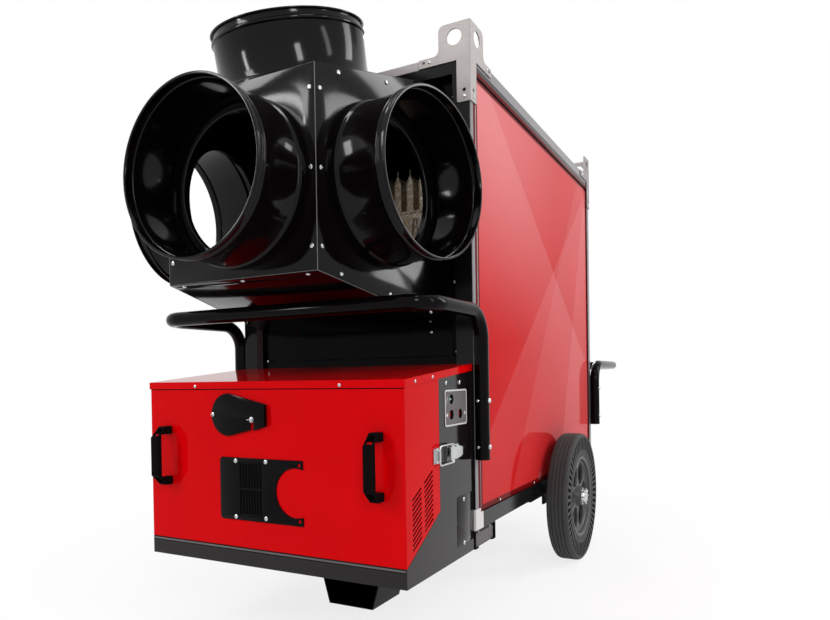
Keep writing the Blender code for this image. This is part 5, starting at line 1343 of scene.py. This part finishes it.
    def grips(self) -> None:
        """Add the two moulded pull handles with their ribbed bars."""
        low, high, reach, chamfer, bar, foot = 0.350, 0.485, 0.045, 0.024, 0.013, 0.018
        outline = [(0, low), (reach - chamfer, low), (reach, low + chamfer),
                   (reach, high - chamfer), (reach - chamfer, high), (0, high),
                   (0, high - foot), (reach - bar, high - foot), (reach - bar, low + foot),
                   (0, low + foot)]
        ribs = 23
        pitch = (high - low - 2 * chamfer - 0.008) / (ribs - 1)
        for word, middle in (("right", 0.285), ("left", -0.285)):
            place = laid(self.at(middle - 0.011, 0.0003, 0), AHEAD, UP)
            whole = Shape().slab([outline], 0.022, place, 0.0018).baked()
            for height, lean in ((high - chamfer / 2, 45), (low + chamfer / 2, -45)):
                pocket = Shape().block((-0.008, -0.0085, -0.0145), (0.008, 0.0085, 0.0145), 0.001)
                turn = Matrix.Rotation(math.radians(lean), 4, "X")
                seat = Matrix.Translation(self.at(middle, reach - chamfer / 2, height)) @ turn
                cutter = pocket.baked()
                cutter.transform(seat @ Matrix.Diagonal((1, 1.35, 0.82, 1)))
                whole = carved(whole, cutter)
            made = Shape().add(whole)
            for number in range(ribs):
                z = low + chamfer + 0.004 + pitch * number
                made.block(self.at(middle - 0.0085, reach + 0.0007, z - 0.0008),
                           self.at(middle + 0.0085, reach - 0.002, z + 0.0008), 0.0003)
            made.piece("pull_handle_" + word, PLASTIC, "burner_hood", "black_plastic",
                       ["hood_handle_" + word])

    def lid_height(self, reach: float) -> float:
        """Return the lid's top at a distance in front of the cabinet."""
        slope = (self.rear_top - self.front_top) / (self.reach - 0.003)
        return self.front_top + slope * (self.reach - reach)

    def fixings(self) -> None:
        """Add the screws of the intake plate, the grips and the lid."""
        face = 0.0023
        heads = [(self.at(x, face, z), AHEAD) for x, z in (
            (-0.079, 0.413), (0.005, 0.414), (-0.080, 0.290), (0.004, 0.292))]
        fastened("intake_screws", Head.PAN, heads, "burner_hood")
        heads = [(self.at(x, 0.0148, z), AHEAD) for x in (-0.285, 0.285)
                 for z in (0.4760, 0.3590)]
        fastened("grip_screws", Head.SMALL, heads, "burner_hood")
        heads = [(self.at(x, face, 0.577), AHEAD) for x in (-0.197, 0.197)]
        heads += [beside(sign, self.side + 0.0026, y, self.lid_height(-y) - 0.0085)
                  for sign in (1, -1) for y in (-0.296, -0.218)]
        fastened("lid_screws", Head.SMALL, heads, "burner_hood")


@dataclass
class BurnerSides:
    """The fixed black sides and tray, the switches and the latches."""

    side: float = BURNER_HALF
    latch_height: float = 0.425

    def build(self) -> None:
        """Dress the sheets and add the strips, screws, the painted highlight and shade along the
        tray's lip, switches and latches.
        """
        dress(CHARCOAL, "burner_side_right", "burner_side_left", "burner_tray")
        dress(PLASTIC, "switch_box")
        dress(ZINC, "latch_base_right", "latch_base_left", "latch_lever_right",
              "latch_lever_left", "latch_keeper_right", "latch_keeper_left")
        self.seams()
        self.lip()
        self.controls()
        self.latches()

    def facing(self, away: float) -> Matrix:
        """Return the placement of an outline on the right side, away from its face."""
        return flank(self.side + away)

    def seams(self) -> None:
        """Add the inspection strip behind each side, and the side screws."""
        Shape().slab([[(-0.097, 0.210), (-0.003, 0.210), (-0.003, 0.322), (-0.089, 0.322),
                       (-0.097, 0.318), (-0.097, 0.268), (-0.094, 0.264), (-0.097, 0.260)]],
                     0.0006, self.facing(0.0006), 0.0002).mirrored().piece(
            "side_strips", CHARCOAL, "chassis", "black_paint")
        heads = [beside(sign, self.side + away, y, z) for sign in (1, -1) for away, y, z in (
            (0.0006, -0.061, 0.312), (0.0006, -0.061, 0.213), (0, -0.148, 0.577),
            (0, -0.076, 0.577))]
        fastened("side_screws", Head.PAN, heads)

    def lip(self) -> None:
        """Add a grey painted highlight along the tray's folded front lip, between two near-black
        strips of painted shade.
        """
        wide = self.side - 0.0026
        # A grey painted highlight along the lip, with near-black painted shade above and below it.
        for words, finish, low, high in (("tray_lip_highlight", TRAY_HIGHLIGHT, 0.2166, 0.2206),
                                         ("tray_shade_low", SHADE_BLACK, 0.2148, 0.2164),
                                         ("tray_shade_high", SHADE_BLACK, 0.2208, 0.2226)):
            Shape().slab([oblong(-wide, low, wide, high)], 0.0005, facade(-0.3374), 0.0002).piece(
                words, finish, "chassis", "black_paint")

    def controls(self) -> None:
        """Add the label plate with its light lines, the knob and the two push buttons."""
        spots = ((-0.121, 0.541), (-0.121, 0.507), (-0.073, 0.507))
        outlines = [rounded(-0.156, 0.482, -0.037, 0.562, 0.006)]
        outlines += [ring(place, 0.011, 40) for place in spots]
        Shape().slab(outlines, 0.001, self.facing(0.0013), 0.0002).piece(
            "label_plate", LABEL, "chassis", "label", ["control_plate"])
        marks = [[rounded(-0.1558, 0.4822, -0.0372, 0.5618, 0.0058),
                  rounded(-0.1524, 0.4856, -0.0406, 0.5584, 0.0036)]]
        marks += [[ring(place, 0.0040, 20)] for place in ((-0.145, 0.507), (-0.049, 0.508))]
        marks += [[[(-0.150, 0.531), (-0.1485, 0.531), (-0.1415, 0.547), (-0.143, 0.547)]]]
        line = Shape()
        for mark in marks:
            line.slab(mark, 0.0004, self.facing(0.0015), 0.0001)
        line.piece("label_lines", LABEL_LINE, "chassis", "label")
        face = self.side - 0.006
        for name, body, finish, slot, (y, z) in (
                ("selector_knob", "knob", KNOB, "knob_plastic", spots[0]),
                ("reset_button", "reset", PUSH_RED, "button_plastic", spots[1]),
                ("stop_button", "stop", PUSH_RED, "button_plastic", spots[2])):
            made = Shape()
            place = aimed(spot(face, y, z), RIGHT)
            made.lathe([(0, -0.016), (0.0098, -0.016), (0.0098, -0.0010)]
                       + arc((0.0088, -0.0010), 0.0010, 0, 90, 4)
                       + [(0.0070, -0.0002), (0.0050, -0.0008), (0, -0.0010)],
                       place, 40, closed=False)
            if body == "knob":
                made.block((-0.0068, -0.0020, -0.002), (0.0068, 0.0020, 0.0038), 0.0006, place)
            made.piece(name + "_cap", finish, body, slot, [name])

    def latches(self) -> None:
        """Add the wire loops and the rivets of the toggle latches."""
        pin, height = self.side + 0.0083, self.latch_height
        start, far, half, eye = -0.142 + 0.014, -0.142 - 0.056, 0.0205, 0.0128
        loop = [(start, eye), (start, half), (far, half), (far, -half), (start, -half),
                (start, -eye)]
        for word, sign in (("right", 1), ("left", -1)):
            corners = [spot(sign * pin, y, height + up) for y, up in loop]
            Shape().sweep(bent(corners, 0.006, 8), 0.002, 16).piece(
                "latch_wire_" + word, ZINC, "loop_" + word, "zinc", ["latch_loop_" + word])
            for name, body, y, off in (("latch_rivets_", "chassis", -0.0935, 0.010),
                                       ("keeper_rivets_", "burner_hood", -0.192, 0.011)):
                heads = [beside(sign, self.side + 0.0023, y, height + up) for up in (-off, off)]
                fastened(name + word, Head.SMALL, heads, body)


@dataclass
class Wheels:
    """The wheels, the axle and the front support."""

    radius: float = 0.200
    setback: float = 0.6955
    outer: float = 0.434
    tread: float = 0.066
    rim: float = 0.1277
    blocks: int = 56

    def build(self) -> None:
        """Dress the support, and add its end plates, both wheels and the axle."""
        dress(SHEET_BLACK, "front_foot", "axle_support")
        self.support()
        centre = self.outer - self.tread / 2
        for word, sign in (("right", 1), ("left", -1)):
            place = aimed(spot(sign * centre, self.setback, self.radius), Vector((sign, 0, 0)))
            self.tyre(word, place)
            self.spokes(word, place)
        self.axle(centre)

    def support(self) -> None:
        """Add the pale plates in the ends of the front channel, and their screws."""
        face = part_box("front_foot")[1].x - 0.0040
        Shape().slab([oblong(0.0085, 0.1850, 0.1260, 0.2150)], 0.0008, flank(face),
                     0.0003).mirrored().piece("channel_ends", LABEL, "chassis", "black_paint")
        heads = [beside(sign, face, y, 0.2195) for sign in (1, -1) for y in (0.030, 0.105)]
        fastened("channel_screws", Head.SMALL, heads)

    def tyre(self, word: str, place: Matrix) -> None:
        """Add one solid tyre with its ribbed tread, and its sidewall slots painted near-black as
        painted shade.

        Args:
            word: which side it is on.
            place: the wheel's placement, its third axis pointing out.
        """
        bead = self.rim + 0.0003
        wall = [(bead, 0.0290), (bead + 0.002, 0.0302), (bead + 0.006, 0.0302),
                (bead + 0.007, 0.0292), (bead + 0.014, 0.0292), (bead + 0.015, 0.0302),
                (bead + 0.020, 0.0302)]
        crown = [(0.1880, 0.0316), (0.1905, 0.0324), (0.1940, 0.0318), (0.1972, 0.0292),
                 (0.1992, 0.0252), (self.radius - 0.0003, 0.0215)]
        tread = [(self.radius - drop, middle + off)
                 for middle in (0.0168, 0.0056, -0.0056, -0.0168)
                 for off, drop in ((0.0022, 0), (0.0014, 0.0030), (-0.0014, 0.0030), (-0.0022, 0))]
        side = wall + [(0.1490, 0.0205), (0.1870, 0.0215)] + crown
        whole = side + tread + [(r, -z) for r, z in reversed(side)]
        Shape().lathe(whole, place, 120).piece(
            "tyre_body_" + word, RUBBER, "wheel_" + word, "tyre", ["tyre_" + word], 28)
        pitch, share = 360 / self.blocks, 0.46
        face = [(0.1480, 0.0300), (0.1560, 0.0312), (0.1700, 0.0320), (0.1890, 0.0322)]
        rib = [(0.1480, 0.0200)] + face + [(0.1890, 0.0200)]
        cap = [(0.1480, 0.0288)] + face + [(0.1890, 0.0306), (0.1700, 0.0306), (0.1560, 0.0298)]
        # The slots' floor and the ribs' flanks stay shallow and are painted near-black as painted
        # shade.
        bed = [(0.1490, 0.0262), (0.1872, 0.0282), (0.1872, 0.0300), (0.1490, 0.0282)]
        caps, shaded_walls = Shape(), Shape()
        for way in (1, -1):
            shaded_walls.lathe([(r, way * z) for r, z in bed], place, 120)
            for number in range(self.blocks):
                reach = (pitch * number, pitch * (number + share))
                shaded_walls.lathe([(r, way * (z - 0.0009)) for r, z in rib], place, 2, span=reach)
                caps.lathe([(r, way * z) for r, z in cap], place, 2, span=reach)
        shaded_walls.piece("tyre_slot_shade_" + word, SLOT_SHADE, "wheel_" + word, "tyre")
        caps.piece("tyre_ribs_" + word, RUBBER, "wheel_" + word, "tyre")

    def spokes(self, word: str, place: Matrix) -> None:
        """Add one moulded rim: barrel, dished web with six windows, and hub.

        Args:
            word: which side it is on.
            place: the wheel's placement, its third axis pointing out.
        """
        rim, barrel, half = self.rim, self.rim - 0.012, 0.029
        made = Shape()
        made.lathe([(barrel, half - 0.005), (barrel + 0.002, half - 0.002), (rim - 0.004, half),
                    (rim - 0.001, half), (rim, half - 0.001), (rim, -half + 0.001),
                    (rim - 0.001, -half), (barrel + 0.003, -half), (barrel, -half + 0.004)],
                   place, 96)
        made.lathe([(barrel - 0.001, 0.008), (barrel - 0.001, 0.0195), (barrel - 0.004, 0.0205),
                    (barrel - 0.007, 0.0185), (barrel - 0.010, 0.014), (barrel - 0.010, 0.008)],
                   place, 96)
        windows = []
        count, parts = 6, 12
        for spoke in range(count):
            base = math.tau * spoke / count
            edge = []
            for step in range(parts + 1):
                share = step / parts
                wide = 0.0345 * max(0.0, math.sin(math.pi * share ** 1.25)) ** 0.55
                edge.append((0.038 + 0.072 * share, wide))
            outline = edge[1:] + [(reach, -wide) for reach, wide in edge[-2::-1]]
            windows.append([(x * math.cos(base) - y * math.sin(base),
                             x * math.sin(base) + y * math.cos(base)) for x, y in outline])
        made.slab([ring((0, 0), barrel + 0.002, 96)] + windows, 0.014,
                  place @ Matrix.Translation((0, 0, 0.016)), 0.004)
        made.lathe([(0.0130, 0.031), (0.0255, 0.031), (0.0285, 0.029), (0.030, 0.022),
                    (0.034, 0.015), (0.034, 0.004), (0.030, -0.004), (0.030, -0.028),
                    (0.027, -0.031), (0.0130, -0.031)], place, 64)
        made.piece("rim_body_" + word, RIM_COAT, "wheel_" + word, "rim_plastic",
                   ["rim_" + word], 35)

    def axle(self, centre: float) -> None:
        """Add the axle with its pressed caps.

        Args:
            centre: the wheels' distance from the middle.
        """
        cap = centre + 0.0313
        line = [(0, cap + 0.014), (0.010, cap + 0.0132), (0.017, cap + 0.0105)]
        line += [(0.0195, cap + 0.006), (0.0200, cap + 0.0022), (0.026, cap + 0.0010), (0.026, cap)]
        line += [(0.0125, cap), (0.0125, 0)]
        whole = line + [(r, -z) for r, z in reversed(line[:-1])]
        place = aimed(spot(0, self.setback, self.radius), RIGHT)
        made = Shape().lathe(whole, place, 48, closed=False)
        ribs = 8
        for sign in (1, -1):
            low, high = sorted((sign * (cap + 0.0005), sign * (cap + 0.0125)))
            rise = 0.0014 if sign > 0 else 0
            for number in range(ribs):
                turned = place @ Matrix.Rotation(math.tau * number / ribs, 4, "Z")
                made.block((0.0165, -0.0016, low), (0.0250, 0.0016, high), 0.0006, turned)
                made.block((0.0030, -0.0012, low), (0.0120, 0.0012, high + rise), 0.0004, turned)
        made.piece("axle_rod", ZINC, "chassis", "zinc", ["axle"], 30)


@dataclass
class Furnace:
    """The combustion chamber, the flat tube exchanger and the flue."""

    flue_setback: float = 0.760
    columns: int = 9
    pitch: float = 0.037
    header: float = 0.176

    def build(self) -> None:
        """Dress the hot parts, and add the header's folds, the tubes' seams and the flue."""
        dress(HOT, "combustion_chamber", "exchanger_bank")
        dress(SHEET_BLACK, "chamber_cradle")
        self.folds()
        self.tubes()
        low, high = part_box("flue_pipe")
        line = [(0.075, low.z), (0.075, 1.3542), (0.0968, 1.3544), (0.0968, 1.3558),
                (0.0765, 1.3562)]
        line += [(0.0752, 1.360), (0.075, high.z - 0.012)]
        line += arc((0.075, high.z - 0.009), 0.0022, -80, 80, 6) + [(0.075, high.z - 0.005),
                                                                  (0.0750, high.z)]
        line += [(0.073, high.z), (0.073, low.z)]
        Shape().lathe(line, Matrix.Translation(spot(0, self.flue_setback, 0)), 80).piece(
            "flue_stub", STEEL, "chassis", "stainless", ["flue_pipe"])

    def middles(self) -> list[float]:
        """Return where each column of tubes stands across the machine."""
        return [(number - self.columns // 2) * self.pitch for number in range(self.columns)]

    def folds(self) -> None:
        """Add the header's front sheet with its weld bead and its pressed folds."""
        half, steps = self.header, 160
        made = Shape().slab([oblong(-half, 0.880, half, 1.030)], 0.0012, facade(0.1338), 0.0004)
        bead = [spot(-half + 2 * half * k / steps, 0.1328, 1.0305 + 0.0022 * math.sin(k * 1.7))
                for k in range(steps + 1)]
        made.sweep(bead, 0.0024, 10)
        for middle in self.middles():
            x = middle + self.pitch / 2
            path = [spot(x + across, 0.1330 - bulge, z) for across, z, bulge in (
                (-0.0150, 0.885, 0), (-0.0100, 0.960, 0.0005), (-0.0040, 1.010, 0.001),
                (0, 1.021, 0.0015), (0.0040, 1.010, 0.001), (0.0100, 0.960, 0.0005),
                (0.0150, 0.885, 0))]
            made.sweep(bent(path, 0.004, 4), 0.0022, 10)
        made.piece("exchanger_folds", HOT, "chassis", "hot_steel")

    def tubes(self) -> None:
        """Add the seams along the flat tubes and the drawn nibs on their tops."""
        made = Shape()
        for row in (0.180, 0.305, 0.430):
            front = row - 0.0354
            for x in self.middles():
                for side in (1, -1):
                    made.sweep([spot(x + side * 0.0092, front, 1.012),
                                spot(x + side * 0.0092, front, 1.113),
                                spot(x + side * 0.0012, front, 1.131)], 0.0011, 8)
                made.lathe([(0, 1.124), (0.0024, 1.126), (0.0015, 1.133), (0.0012, 1.141),
                            (0.0019, 1.145), (0.0012, 1.149), (0, 1.150)],
                           Matrix.Translation(spot(x, front + 0.003, 0)), 12, closed=False)
        made.piece("tube_seams", HOT, "chassis", "hot_steel")


@dataclass
class FanEnd:
    """The burner's own fan, the main fan, its guard and the cable inlet."""

    height: float = 0.790
    wire: float = 0.0025
    rings: int = 11
    arms: int = 8

    def build(self) -> None:
        """Dress the castings and add the round pieces."""
        dress(CAST, "burner_housing", "burner_impeller", "burner_motor", "axial_fan", "fan_motor")
        dress(STEEL, "fan_shroud")
        self.guard()
        self.gland()

    def guard(self) -> None:
        """Add the wire guard over the fan's inlet."""
        seat = LENGTH - 0.024 + 0.0028
        middle = spot(0, seat, self.height)
        made = Shape()
        turns = [math.tau * step / 72 for step in range(73)]
        for number in range(self.rings):
            radius = 0.044 + 0.0224 * number
            made.sweep([middle + Vector((radius * math.cos(a), 0.0022, radius * math.sin(a)))
                        for a in turns], 0.0016, 8)
        for arm in range(self.arms):
            angle = math.tau * (arm + 0.3) / self.arms
            way = Vector((math.cos(angle), 0, math.sin(angle)))
            made.sweep([middle + way * 0.02, middle + way * 0.2705], self.wire, 12)
        made.pin(0.047, 0.0, 0.0016, aimed(middle + Vector((0, 0.0024, 0)), BACK), 48)
        made.piece("guard_wires", ZINC, "chassis", "zinc", ["fan_guard"])

    def gland(self) -> None:
        """Add the cable gland with its nut and its open mouth."""
        low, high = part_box("cable_gland")
        middle = (low + high) / 2
        place = aimed(Vector((middle.x, low.y, middle.z)), BACK)
        long = high.y - low.y
        line = [(0.006, 0), (0.018, 0), (0.018, 0.008), (0.014, 0.008), (0.014, 0.022),
                (0.0165, 0.0225), (0.0165, long - 0.008), (0.0135, long - 0.001), (0.0125, long),
                (0.0072, long), (0.006, long - 0.002)]
        Shape().lathe(line, place, 12).piece("cable_inlet", PLASTIC, "chassis", "black_plastic",
                                             ["cable_gland"], 20)


def watched(tree: Tree) -> bpy.types.NodeSocket:
    """Return a value that is 1 for what the camera sees, also by reflection or through glass."""
    path = tree.node("LightPath")
    return tree.math("MAXIMUM", path.outputs["Is Camera Ray"], tree.math(
        "MAXIMUM", path.outputs["Is Glossy Ray"], path.outputs["Is Transmission Ray"]))


@dataclass(frozen=True)
class Lamp:
    """A soft rectangular lamp."""

    name: str
    place: tuple[float, float, float]
    aim: tuple[float, float, float]
    wide: float
    tall: float
    power: float

    def build(self) -> None:
        """Add the lamp, turned towards what it is aimed at."""
        light = bpy.data.lights.new("lamp_" + self.name, "AREA")
        light.shape = "RECTANGLE"
        light.size, light.size_y, light.energy = self.wide, self.tall, self.power
        lamp = bpy.data.objects.new("lamp_" + self.name, light)
        lamp.location = self.place
        away = Vector(self.aim) - Vector(self.place)
        lamp.rotation_euler = away.to_track_quat("-Z", "Y").to_euler()
        bpy.context.scene.collection.objects.link(lamp)


@dataclass
class Studio:
    """The camera, the lamps, the backdrop and the floor."""

    lens: float = 28.995
    yaw: float = 28.13
    pitch: float = -0.646
    roll: float = -0.895
    shift: tuple[float, float] = (0.0118, 0.0889)
    eye: tuple[float, float, float] = (0.9437, -1.9935, 0.5927)
    lamps: tuple[Lamp, ...] = (
        Lamp("key", (-2.3, -3.9, 3.75), (0.0, -0.9, 1.25), 0.95, 1.4, 62),
        Lamp("tall", (-2.3, -3.9, 2.2), (0.0, -0.8, 1.4), 0.30, 1.4, 34),
        Lamp("strip", (2.2, -3.1, 2.25), (0.0, -0.8, 1.35), 0.42, 1.3, 36),
        Lamp("flank", (2.95, 1.6, 2.45), (0.25, -0.7, 1.0), 0.9, 2.4, 56),
        Lamp("side", (3.6, -0.9, 2.0), (0.2, 0.1, 0.7), 0.4, 2.2, 18),
        Lamp("over", (0.2, -1.2, 3.6), (0.0, -0.3, 0.6), 1.6, 0.4, 30),
        Lamp("rear", (-1.5, 4.0, 2.4), (0.0, 0.3, 0.8), 0.6, 2.2, 50),
    )

    def build(self) -> None:
        """Set the camera, the backdrop, the floor and the lamps."""
        scene = bpy.context.scene
        scene.view_settings.view_transform = "Standard"
        self.camera(scene)
        self.world(scene)
        self.floor()
        for lamp in self.lamps:
            lamp.build()

    def camera(self, scene: bpy.types.Scene) -> None:
        """Add the camera."""
        yaw, pitch, roll = (math.radians(a) for a in (self.yaw, self.pitch, self.roll))
        ahead = Vector((-math.sin(yaw) * math.cos(pitch), math.cos(yaw) * math.cos(pitch),
                        math.sin(pitch)))
        right = Vector((math.cos(yaw), math.sin(yaw), 0))
        up = right.cross(ahead)
        across = right * math.cos(roll) + up * math.sin(roll)
        rise = up * math.cos(roll) - right * math.sin(roll)
        data = bpy.data.cameras.new("view")
        data.lens, data.sensor_width = self.lens, 36
        data.shift_x, data.shift_y = self.shift
        made = bpy.data.objects.new("view", data)
        made.matrix_world = Matrix.Translation(self.eye) @ Matrix(
            (across, rise, -ahead)).transposed().to_4x4()
        scene.collection.objects.link(made)
        scene.camera = made

    def world(self, scene: bpy.types.Scene) -> None:
        """Set a backdrop that is white to the eye and soft as light."""
        world = bpy.data.worlds.new("studio")
        scene.world = world
        world.use_nodes = True
        tree = Tree(world.node_tree)
        back = world.node_tree.nodes["Background"]
        tree.feed(back.inputs["Color"], (1.0, 1.0, 1.0))
        tree.feed(back.inputs["Strength"], tree.span(watched(tree), 0.0, 1.0, 0.42, 1.0))

    def floor(self) -> None:
        """Add the pale floor, which fades into the backdrop."""
        made = bmesh.new()
        bmesh.ops.create_grid(made, x_segments=1, y_segments=1, size=30)
        mesh = bpy.data.meshes.new("floor")
        made.to_mesh(mesh)
        made.free()
        paint = bpy.data.materials.new("floor_white")
        paint.use_nodes = True
        tree = Tree(paint.node_tree)
        shader = paint.node_tree.nodes["Principled BSDF"]
        shader.inputs["Base Color"].default_value = (0.93, 0.93, 0.93, 1)
        shader.inputs["Roughness"].default_value = 0.8
        shader.inputs["Specular IOR Level"].default_value = 0.0
        where = tree.node("VectorMath", {"operation": "LENGTH"})
        tree.feed(where.inputs[0], tree.where())
        fade = tree.math("MULTIPLY", watched(tree),
                         tree.span(where.outputs["Value"], 0.6, 1.9, 0.80, 1.0))
        glow = tree.node("Emission", Color=(1.0, 1.0, 1.0), Strength=1.0)
        both = tree.node("MixShader")
        tree.feed(both.inputs[0], fade)
        tree.feed(both.inputs[1], shader.outputs[0])
        tree.feed(both.inputs[2], glow.outputs[0])
        tree.feed(paint.node_tree.nodes["Material Output"].inputs[0], both.outputs[0])
        mesh.materials.append(paint)
        ground = bpy.data.objects.new("floor", mesh)
        bpy.context.scene.collection.objects.link(ground)


def main() -> None:
    """Build the studio and every sub-assembly."""
    logging.basicConfig(level=logging.INFO, format="%(name)s %(message)s")
    for part in (Studio(), Cabinet(), Plenum(), TubeHandles(), BurnerHood(), BurnerSides(),
                 Wheels(), Furnace(), FanEnd()):
        LOG.info("building %s", type(part).__name__)
        part.build()


if __name__ == "__main__":
    main()
